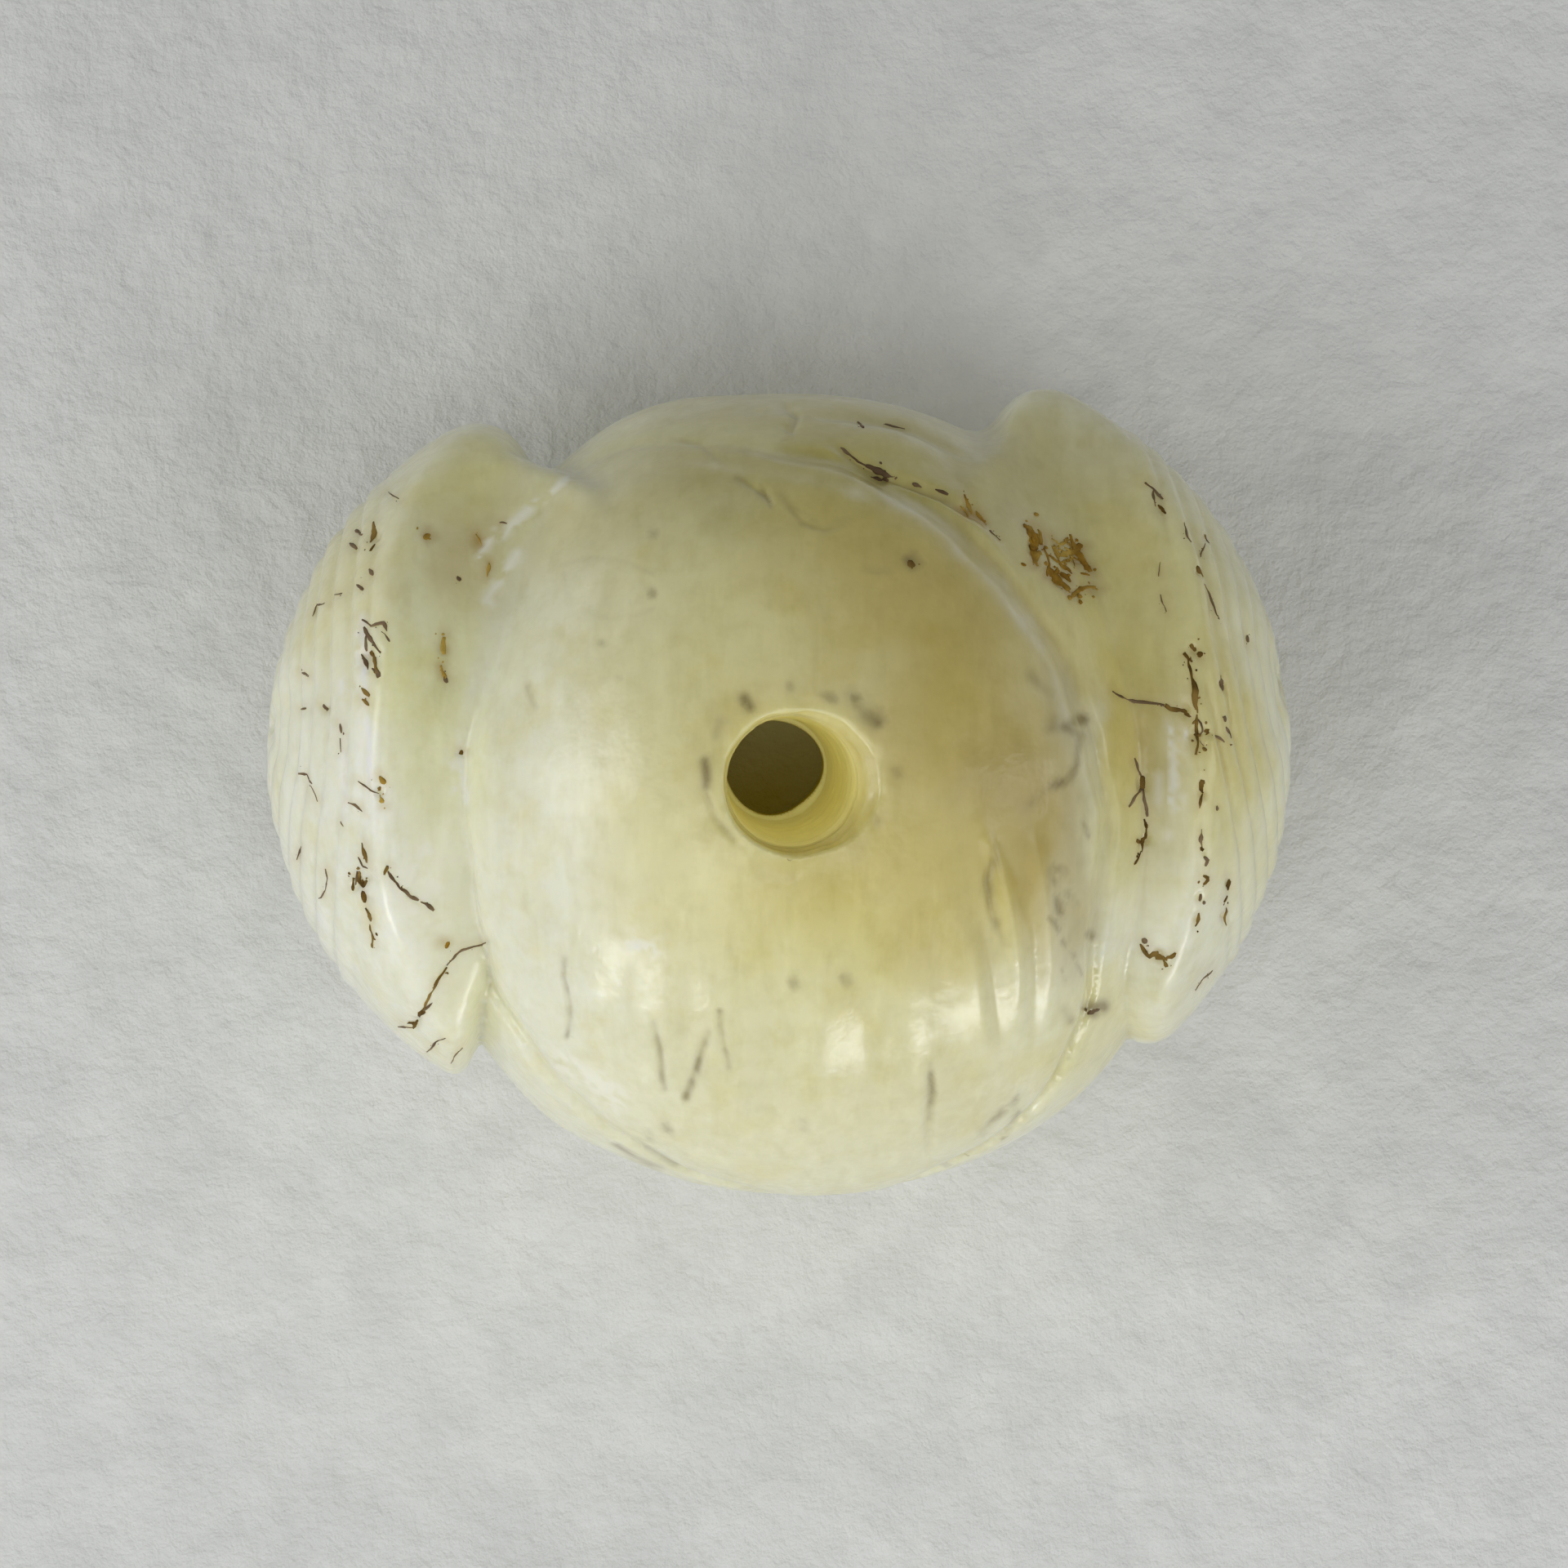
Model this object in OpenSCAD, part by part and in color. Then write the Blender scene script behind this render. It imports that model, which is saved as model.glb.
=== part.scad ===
// Carved stone sew-on button of ball form: a ball boss with a raised front
// dome, a ribbed wing on each flank, and one drilled thread channel.
// The button is a single carving, so it is one solid in one node.
// Frame: origin on the axis of the thread channel, level with the centre of
// the ball, +Z along the channel towards the front dome, +X towards the larger
// wing, +Y towards the rounded knobs of the wings.

/* [Ball boss] */
// Radius of the ball boss
ball_r = 7.97; // [7.6:0.01:8.3]
// Sideways offset of the ball from the bore axis
ball_dx = 0.40; // [0:0.05:0.6]
// Downward offset of the ball from the bore axis
ball_dy = 0.63; // [0.3:0.05:0.9]
// Distance from the ball's centre to the flat back seat
seat_drop = 6.90; // [6.6:0.05:7.2]

/* [Front dome] */
// Radius of the raised front dome
dome_r = 8.20; // [8.05:0.01:8.4]
// Half width of the dome's outline, and the radius of its rounded ends
dome_half_w = 6.10; // [5.6:0.05:6.4]
// Half length of the straight flank of the dome's outline
dome_flank = 1.15; // [0.8:0.05:1.4]
// Downward offset of the dome's outline from the bore axis
dome_dy = 1.35; // [1:0.05:1.6]
// Number of shallow flutes in the lower part of the dome
flutes = 6; // [3:1:6]
// Depth of each flute
flute_depth = 0.16; // [0.08:0.01:0.22]
// Radius of the round section that cuts each flute
flute_r = 1.00; // [0.8:0.05:1.2]

/* [Wings] */
// Radius of the small wing's outline
wing_l_r = 7.31; // [7.2:0.01:7.5]
// Distance of the small wing's outline centre from the bore axis
wing_l_dx = 2.66; // [2.6:0.01:2.9]
// Lean of the small wing, its knob towards the dome
wing_l_lean = 4; // [0:0.5:6]
// Half angle of the small wing, from its own axis to its inner face
wing_l_lip = 64.5; // [62:0.5:67]
// Radius of the large wing's outline
wing_r_r = 7.76; // [7.6:0.01:7.9]
// Distance of the large wing's outline centre from the bore axis
wing_r_dx = 2.29; // [2.2:0.01:2.5]
// Lean of the large wing, its knob towards the dome
wing_r_lean = 11; // [8:0.5:13]
// Half angle of the large wing, from its own axis to its inner face
wing_r_lip = 62; // [60:0.5:64]
// Upward offset of both wings from the bore axis
wing_dy = 0.22; // [0.1:0.01:0.4]
// Rounding of the inner edge of each wing, which makes its knob and tip
lip_round = 0.85; // [0.5:0.05:1]
// Half angle of the crest, where the ribs begin
crest = 44; // [42:0.5:47]
// Number of ribs from the crest to the end of the wing
ribs = 8; // [6:1:12]
// Depth of the cuts between ribs
rib_depth = 0.07; // [0.03:0.01:0.1]
// Radius of the smooth trough between crest and dome
trough_r = 3.1; // [2.8:0.1:3.4]
// Height of the trough's floor above the ball's centre
trough_z = 4.5; // [4.3:0.05:4.7]
// Distance of the lowest line of the trough from the bore axis
trough_x = 6.05; // [5.9:0.05:6.2]

/* [Thread channel] */
// Radius of the waist where the two drillings meet
waist_r = 0.95; // [0.8:0.05:1.05]
// Radius of each drilling where it meets the worn mouth
drill_r = 1.33; // [1.2:0.01:1.45]
// Radius of the worn and chipped mouth
mouth_r = 1.75; // [1.6:0.01:1.9]
// Depth of the worn mouth
mouth_depth = 0.45; // [0.3:0.05:0.6]
// Length of the straight waist between the two tapered drillings
waist_len = 4.60; // [3.6:0.1:6]

/* [Hidden] */
eps = 0.01;

// Facets of the spheres and revolved shapes, the cylinders, and the flute section
round_fn = 128;
cylinder_fn = 96;
flute_fn = 48;

seat_cut = [30, 30, 20];

dome_centre = [ball_dx * 0.75, -ball_dy * 0.72, 0];
dome_base_z = 1;
dome_outline_h = 9;

// Flutes fan out about -Y; each runs up an arc of elevation from the XY plane
flute_fan = 94;
flute_start = 2;
flute_sweep = 66;
flute_deepest = 10;
flute_shift = 3 * flute_depth; // of the arc's centre, away from the deepest point

lip_face = 2.2;     // from the outline circle in to the foot of the inner face's rim
face_hollow = 1;    // from that foot back to the middle of the inner face, along the axis
lip_steps = 8;
smooth_steps = 6;
steps_per_rib = 5;
rib_power = 0.6;    // below 1 gives broad ribs with narrow cuts
rib_fade = 5;       // the cuts fade out over the last 1 / rib_fade of the ribs
trough_len = 20;

front_z = sqrt(dome_r * dome_r - mouth_r * mouth_r); // rim of the front mouth
back_z = -seat_drop;

// Outline of one wing about its own axis, as [along the axis, away from it].
// It runs from the inner face over the rounded lip, along the outline circle
// to the crest, and over the ribs to the end of the axis.
function polar(distance, angle) = distance * [cos(angle), sin(angle)];

function arc(radius, from, to, steps, first = 0) =
    [for (i = [first : steps]) polar(radius, from + (to - from) * i / steps)];

// Angle at which the rounded lip runs into the outline circle
function lip_end(radius, lip) = lip - asin(lip_round / (radius - lip_round));

function lip_points(radius, lip) =
    let (end = lip_end(radius, lip), centre = polar(radius - lip_round, end))
    [for (point = arc(lip_round, lip + 90, end, lip_steps)) centre + point];

// Depth below the outline circle, at a fraction of the way from crest to end
function rib_dip(fraction) =
    rib_depth * (1 - pow(abs(sin(180 * fraction * ribs)), rib_power))
    * min(1, rib_fade * (1 - fraction));

function rib_points(radius) =
    let (steps = ribs * steps_per_rib)
    [for (i = [1 : steps - 1])
        let (fraction = i / steps)
        polar(radius - rib_dip(fraction), crest * (1 - fraction))];

function wing_profile(radius, lip) =
    let (foot = polar(radius - lip_face, lip))
    concat(
        [[foot.x - face_hollow, 0], foot],
        lip_points(radius, lip),
        arc(radius, lip_end(radius, lip), crest, smooth_steps, first = 1),
        rib_points(radius),
        [[radius, 0]]
    );

// Ball with the flat seat that it stands on
module ball() {
    difference() {
        translate([ball_dx, -ball_dy, 0]) sphere(r = ball_r, $fn = round_fn);
        translate([-seat_cut.x / 2, -seat_cut.y / 2, back_z - seat_cut.z]) cube(seat_cut);
    }
}

// Straight walled outline of the front dome
module dome_outline() {
    for (side = [-1, 1])
        translate([0, -dome_dy + side * dome_flank, dome_base_z])
            cylinder(r = dome_half_w, h = dome_outline_h, $fn = cylinder_fn);
    translate([-dome_half_w, -dome_dy - dome_flank, dome_base_z])
        cube([2 * dome_half_w, 2 * dome_flank, dome_outline_h]);
}

// One shallow flute down the dome: it starts level with the surface on the
// shoulder and is deepest near the lower edge of the dome
module flute(turn) {
    rotate([0, 0, turn])
    rotate([90, 0, 0])
    translate(-polar(flute_shift, flute_deepest))
    rotate([0, 0, flute_start])
    rotate_extrude(angle = flute_sweep, $fn = round_fn)
        translate([dome_r + flute_r + flute_shift - flute_depth, 0])
            circle(r = flute_r, $fn = flute_fn);
}

// Raised front dome with its flutes
module dome() {
    difference() {
        intersection() {
            translate(dome_centre) sphere(r = dome_r, $fn = round_fn);
            dome_outline();
        }
        translate(dome_centre)
            for (i = [0 : flutes - 1])
                flute(-90 - flute_fan / 2 + i * flute_fan / (flutes - 1));
    }
}

// One wing on the +X side: a ribbed shell with a smooth trough in front and behind
module wing(centre_x, radius, lip, lean) {
    difference() {
        translate([centre_x, wing_dy, 0])
            rotate([0, 0, lean])
            rotate([0, 90, 0])
            rotate_extrude($fn = round_fn)
                polygon([for (point = wing_profile(radius, lip)) [point.y, point.x]]);
        for (side = [-1, 1])
            translate([trough_x, trough_len / 2, side * (trough_z + trough_r)])
                rotate([90, 0, 0])
                cylinder(r = trough_r, h = trough_len, $fn = cylinder_fn);
    }
}

// One length of the channel, from start_z towards the front
module bore(start_z, length, back_r, front_r) {
    translate([0, 0, start_z])
        cylinder(r1 = back_r, r2 = front_r, h = length, $fn = cylinder_fn);
}

// Thread channel: two tapered drillings that meet at a straight waist, each
// with a worn mouth
module thread_channel() {
    half_waist = waist_len / 2;
    bore(back_z - 1, front_z - back_z + 3, waist_r, waist_r);
    // Front drilling, its mouth, and clearance beyond the mouth
    bore(half_waist, front_z - half_waist + eps, waist_r, drill_r);
    bore(front_z - mouth_depth, mouth_depth + eps, drill_r, mouth_r);
    bore(front_z, 2, mouth_r, mouth_r);
    // Back drilling and its mouth
    bore(back_z - eps, seat_drop - half_waist, drill_r, waist_r);
    bore(back_z - eps, mouth_depth, mouth_r, drill_r);
}

// The whole carving: ball, dome, two wings and the channel, in one solid
module carved_body() {
    color([0.86, 0.85, 0.72])
    difference() {
        union() {
            ball();
            dome();
            wing(wing_r_dx, wing_r_r, wing_r_lip, wing_r_lean);
            mirror([1, 0, 0]) wing(wing_l_dx, wing_l_r, wing_l_lip, wing_l_lean);
        }
        thread_channel();
    }
}

carved_body();
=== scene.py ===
import itertools
import math
from types import SimpleNamespace

import bpy
import numpy as np
from mathutils import Matrix, Vector
from mathutils.bvhtree import BVHTree


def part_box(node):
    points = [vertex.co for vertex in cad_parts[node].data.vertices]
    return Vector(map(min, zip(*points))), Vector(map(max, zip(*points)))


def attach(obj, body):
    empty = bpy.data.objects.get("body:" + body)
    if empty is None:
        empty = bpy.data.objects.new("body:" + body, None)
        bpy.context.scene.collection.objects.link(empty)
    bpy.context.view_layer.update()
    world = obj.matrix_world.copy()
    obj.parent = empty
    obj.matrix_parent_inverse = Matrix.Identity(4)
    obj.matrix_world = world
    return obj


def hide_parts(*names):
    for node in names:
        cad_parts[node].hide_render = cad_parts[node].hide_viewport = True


# ---------------------------------------------------------------- frame
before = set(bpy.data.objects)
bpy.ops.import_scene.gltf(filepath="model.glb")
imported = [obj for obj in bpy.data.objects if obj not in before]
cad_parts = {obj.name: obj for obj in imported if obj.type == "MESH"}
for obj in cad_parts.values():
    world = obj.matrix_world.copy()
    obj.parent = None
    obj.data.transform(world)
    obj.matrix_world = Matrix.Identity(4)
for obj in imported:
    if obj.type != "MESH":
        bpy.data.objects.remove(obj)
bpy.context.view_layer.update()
BOX_LOW, BOX_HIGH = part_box("carved_body")
# All sizes below are in millimetres of the drawing. MM is one of them in
# metres, and ORIGIN is where the drawing's origin lies.
MM = (BOX_HIGH.x - BOX_LOW.x) / 20.010
ORIGIN = np.array([BOX_LOW.x + 9.969 * MM, BOX_LOW.y + 8.596 * MM, BOX_LOW.z + 6.900 * MM])
SEAT = -6.9  # height of the floor

# The camera: what it aims at, the direction back to it, and where it stands
TARGET = np.array([0.13, -0.42, 0.0])
AWAY = np.array([-math.tan(math.radians(2.0)), math.tan(math.radians(1.7)), 1.0])
AWAY /= np.linalg.norm(AWAY)
CAMERA_DISTANCE = 115
EYE = TARGET + CAMERA_DISTANCE * AWAY
HALF_VIEW = 15.6  # half the width seen at the target
SENSOR = 36

# ---------------------------------------------------------------- shape data
BALL = np.array([0.40, -0.63, 0.0])
BALL_RADIUS = 7.97
DOME_MIDDLE = (0.05, -1.35)
# Outline of the dome: (direction in degrees from +X, distance from DOME_MIDDLE)
DOME = [
    (-172.4, 6.06), (-158.7, 6.12), (-146.1, 6.23), (-132.9, 6.39), (-120.3, 6.42),
    (-103.7, 6.79), (-84.8, 7.13), (-50.1, 7.18), (-38.0, 6.70), (-25.2, 6.25),
    (-10.6, 5.82), (12.6, 5.78), (28.0, 5.96), (47.6, 6.09), (62.2, 6.60),
    (73.5, 6.85), (92.0, 7.27), (110.8, 8.11), (120.4, 8.08), (133.2, 7.38),
    (139.9, 7.30), (155.5, 6.69), (168.7, 6.28),
]
# The wings, by side (1 is +X). Angles are in degrees: the axis leans towards
# +Y, and lip and grooves are measured from that axis. fill_end is the stretch
# of y over which the part under the dome fades out.
WINGS = {
    1: SimpleNamespace(
        centre=(2.29, 0.22, 0.0), radius=7.76, lean=11.0, lip=62.0,
        grooves=(44.0, 40.6, 36.2, 31.4, 26.4, 21.0, 14.5),
        groove_width=0.80, groove_depth=0.052,
        edge_blend=0.85, top_blend=0.62, fill_end=(6.6, 5.2),
        hollow_lift=0.0, lift_start=0.5,
    ),
    -1: SimpleNamespace(
        centre=(-2.66, 0.22, 0.0), radius=7.31, lean=4.0, lip=64.5,
        grooves=(43.5, 38.6, 33.0, 28.0, 23.0, 17.5, 12.0),
        groove_width=0.85, groove_depth=0.030,
        edge_blend=0.34, top_blend=1.12, fill_end=(6.15, 5.25),
        hollow_lift=0.20, lift_start=-0.5,
    ),
}
# Round hollows that run along y over and under each wing
TROUGH_RADIUS, TROUGH_X, TROUGH_Z = 3.1, 6.05, 7.72
CHANNEL_STEP = 2.3  # height at which the channel narrows


# ---------------------------------------------------------------- marks
# The marks are given as x,y on the plane z = 0 as seen from the camera.
def table(text):
    """Reads rows of words and numbers, each with its x,y points gathered last."""
    rows = []
    for row in text.strip().splitlines():
        words = row.split()
        values = [
            float(word) if word[-1].isdigit() else word for word in words if "," not in word
        ]
        points = np.array([word.split(",") for word in words if "," in word], float)
        rows.append((*values, points))
    return rows


# Cracks and pits that hold dirt: kind (d dark, b brown, r rust), width, points
CRACKS = table("""
d 0.15 2.66,4.05 2.67,3.98 2.69,3.91
b 0.13 6.2,-5 6.3,-4.97 6.42,-4.95
b 0.06 6.68,1.41 6.93,1.27 7.15,1.22 7.48,1.19 7.71,1.14
d 0.099 7.71,1.14 7.84,1.07 8.1,1.04 8.24,0.89
d 0.099 8.1,2.2 8.2,2.07 8.24,1.82 8.28,1.66 8.34,1.43 8.36,1.11 8.37,0.98
d 0.12 8.36,0.96 8.36,0.75 8.39,0.47 8.36,0.16
b 0.06 8.39,0.88 8.47,0.8 8.5,0.65 8.42,0.55
d 0.159 8.55,0.65 8.62,0.57
b 0.04 8.65,0.57 8.81,0.52 8.91,0.42
b 0.04 8.42,0.42 8.52,0.31
d 0.099 8.24,2.36 8.28,2.29 8.34,2.21
d 0.099 8.37,2.18 8.44,2.1
b 0.099 8.83,1.72 8.85,1.58 8.88,1.43
b 0.079 8.93,0.91 8.96,0.81
b 0.079 8.96,0.72 9.01,0.62 9.04,0.5
b 0.079 9.37,2.54 9.4,2.39
b 0.06 7.11,0.1 7.19,-0.07 7.24,-0.26
d 0.12 7.24,-0.26 7.27,-0.39 7.25,-0.52
b 0.079 7.24,-0.52 7.14,-0.72 7.02,-0.86
b 0.06 7.28,-0.52 7.35,-0.83 7.37,-1.07
d 0.079 7.32,-1.11 7.35,-1.3 7.35,-1.43 7.28,-1.56 7.25,-1.77
d 0.079 7.15,-1.53 7.27,-1.59
d 0.099 7.25,-1.77 7.19,-1.9 7.12,-2.02
d 0.099 8.5,-0.37 8.46,-0.52 8.5,-0.63
d 0.079 8.49,-0.65 8.44,-0.78 8.42,-0.91
b 0.079 8.76,-0.86 8.81,-0.91
b 0.06 8.46,-1.35 8.46,-1.56 8.5,-1.72
d 0.099 8.47,-1.69 8.52,-1.77
b 0.079 8.52,-1.89 8.59,-1.97 8.54,-2.08
d 0.079 8.49,-2.24 8.6,-2.33 8.49,-2.42
b 0.12 8.44,-2.6 8.42,-2.76
d 0.079 8.39,-3.02 8.36,-3.28
d 0.079 8.99,-2.33 9.01,-2.55
d 0.079 8.99,-2.68 8.94,-2.8
d 0.079 8.96,-2.91 8.93,-3.11 8.96,-3.27
d 0.079 7.24,-3.61 7.32,-3.79 7.41,-3.89
d 0.139 7.41,-3.89 7.54,-3.82 7.67,-3.89 7.77,-3.95
d 0.079 7.74,-3.93 7.87,-3.89 7.95,-3.79
d 0.079 7.67,-3.9 7.79,-4.07
b 0.079 7.33,-3.51 7.37,-3.61
b 0.06 8.68,-4.15 8.55,-4.28 8.41,-4.44 8.36,-4.55
b 0.06 7.33,5.59 7.48,5.43 7.69,5.27
b 0.04 7.48,5.43 7.53,5.11
d 0.079 7.58,5.14 7.74,4.96
d 0.099 8.52,4.55 8.55,4.42
b 0.04 8.5,4.37 8.42,4.08
d 0.12 8.37,3.9 8.46,3.71
b 0.04 7.61,4 7.61,3.71
b 0.04 7.64,3.33 7.77,3.01
b 0.04 8.52,3.56 8.65,3.24 8.81,2.83
b 0.04 8.1,4.78 8.23,4.39
r 0.152 5.04,4.7 5.14,4.46 5.07,4.16 5.17,3.93
r 0.101 5.2,4.62 5.27,4.33
r 0.076 5.46,4.46 5.66,4.33 5.85,4.46
r 0.076 5.4,4.13 5.66,3.97 5.9,4.07 6.15,3.97
r 0.126 5.59,3.84 5.5,3.64 5.66,3.51
r 0.076 5.72,4.26 6.02,4.16 6.24,3.8
r 0.101 5.66,3.8 5.85,3.61
r 0.051 6.05,3.77 6.24,3.71
r 0.3 5.02,4.72 5.08,4.4 5.1,3.98
r 0.22 5.38,3.86 5.58,3.66 5.78,3.42
r 0.16 5.5,4.33 5.61,3.97 5.82,3.8
r 0.16 5.82,4.54 5.95,4.21 6.23,3.8
r 0.13 5.62,4.1 5.9,4.22 6.05,4.36
r 0.11 5.86,3.3 6.02,3.46 6.34,3.5
r 0.076 5.3,4.26 5.43,3.97 5.37,3.71
r 0.051 5.82,4.39 5.95,3.9
r 0.076 3.71,5.33 3.79,5.14 3.87,4.94
r 0.076 3.95,5.01 4.13,4.76
r 0.051 3.64,5.11 3.8,4.88
b 0.06 4.23,4.62 4.42,4.42
b 0.06 1.24,6.26 1.51,6.05 1.76,5.89
b 0.099 1.76,5.89 2.05,5.76 2.31,5.69
b 0.079 1.85,5.69 2.21,5.61
b 0.06 1.59,6.78 1.71,6.65
b 0.06 2.16,6.73 2.54,6.65
b 0.06 2.7,5.58 2.89,5.46
b 0.06 3.14,5.43 3.38,5.32
d 0.079 -8.02,4.78 -7.98,4.59 -8.06,4.39
d 0.12 -8,4.33 -8.08,4.2
b 0.079 -8.36,4.63 -8.24,4.52
b 0.079 -8.49,4.36 -8.33,4.24
b 0.06 -8.11,3.84 -8.03,3.72
b 0.06 -8.37,3.53 -8.23,3.45
b 0.06 -8.78,3.35 -8.63,3.38
b 0.04 -8.98,3.2 -9.14,3.12 -9.22,2.94
b 0.04 -7.71,5.37 -7.51,5.24
b 0.06 -6.34,3.71 -6.29,3.64
r 0.126 -6.98,4.52 -6.91,4.46
b 0.04 -5.53,4.75 -5.37,4.75
b 0.06 -8.24,2.83 -8.06,2.73 -7.84,2.81 -7.74,2.62
b 0.079 -8.2,2.7 -8.03,2.37 -7.87,2.2
d 0.12 -8.08,2.21 -7.97,1.98 -7.98,1.76
b 0.06 -8.16,2.59 -8.13,2.23
b 0.04 -7.87,2.6 -7.69,2.41
b 0.06 -8.24,2.18 -8.13,1.85
b 0.099 -8.05,1.87 -7.9,1.71
d 0.079 -8.26,1.51 -8.18,1.41 -8.11,1.33
d 0.079 -8.23,1.27 -8.11,1.14
b 0.06 -9.45,1.8 -9.3,1.74
b 0.099 -9.04,1.17 -8.93,1.06
b 0.04 -9.46,1.07 -9.35,1.09
b 0.06 -8.67,0.8 -8.65,0.62
b 0.04 -8.68,0.5 -8.67,0.23
b 0.06 -6.62,1.71 -6.55,1.58
d 0.12 -6.31,0.23 -6.24,0.2
b 0.06 -9.51,-0.23 -9.32,-0.24 -9.25,-0.39
b 0.04 -9.3,-0.44 -9.19,-0.59 -9.11,-0.75
b 0.04 -8.33,-0.34 -8.18,-0.44 -8.05,-0.55 -7.93,-0.59
b 0.04 -8.54,-0.76 -8.37,-0.81 -8.24,-0.94
d 0.099 -7.93,-0.47 -7.89,-0.54
r 0.101 -7.9,-0.62 -7.87,-0.81
r 0.076 -7.9,-0.26 -7.79,-0.39
b 0.04 -8.67,-1.14 -8.6,-1.25
b 0.06 -9.46,-1.63 -9.53,-1.82 -9.56,-1.92
d 0.079 -8.28,-1.58 -8.21,-1.76 -8.16,-1.95
b 0.04 -8.33,-1.85 -8.23,-2.05 -8.13,-2.1
d 0.099 -8.44,-2.26 -8.44,-2.52
d 0.12 -8.29,-2.13 -8.33,-2.31 -8.23,-2.46 -8.16,-2.34
d 0.06 -7.77,-2.02 -7.79,-2.21
b 0.06 -7.76,-2.15 -7.64,-2.31 -7.51,-2.47
b 0.04 -8.98,-2.07 -8.94,-2.29 -8.98,-2.5
b 0.04 -8.98,-2.5 -9.07,-2.67 -9.17,-2.72
d 0.12 -8.23,-2.54 -8.18,-2.76
d 0.099 -8.16,-2.86 -8.11,-3.12
d 0.079 -8.1,-3.19 -8.05,-3.45 -8.05,-3.67
b 0.06 -8.36,-2.15 -8.39,-2.41
b 0.06 -7.51,-2.47 -7.28,-2.67 -7.12,-2.72
b 0.06 -7.09,-2.75 -6.96,-2.81 -6.83,-2.91
d 0.06 -6.59,-4.03 -6.83,-4.42 -7.02,-4.85
d 0.099 -7.02,-4.85 -7.14,-5.04 -7.24,-5.24
d 0.159 -7.27,-5.14 -7.22,-5.2
b 0.04 -6.59,-4.03 -6.37,-3.8 -6.15,-3.67 -5.79,-3.58
b 0.04 -7.06,-4.93 -6.85,-4.78
b 0.04 -6.96,-5.76 -6.78,-5.56 -6.59,-5.46
b 0.04 -6.49,-5.98 -6.41,-5.79 -6.28,-5.64
b 0.04 -7.56,-5.22 -7.4,-5.24 -7.25,-5.24
r 0.126 -6.6,2.49 -6.62,2.18
r 0.076 -6.7,1.93 -6.59,1.66
r 0.101 -6.62,-3.61 -6.55,-3.63
r 0.051 -5.97,4.54 -5.89,4.33
r 0.051 -5.72,3.97 -5.77,3.71
""")
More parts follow.
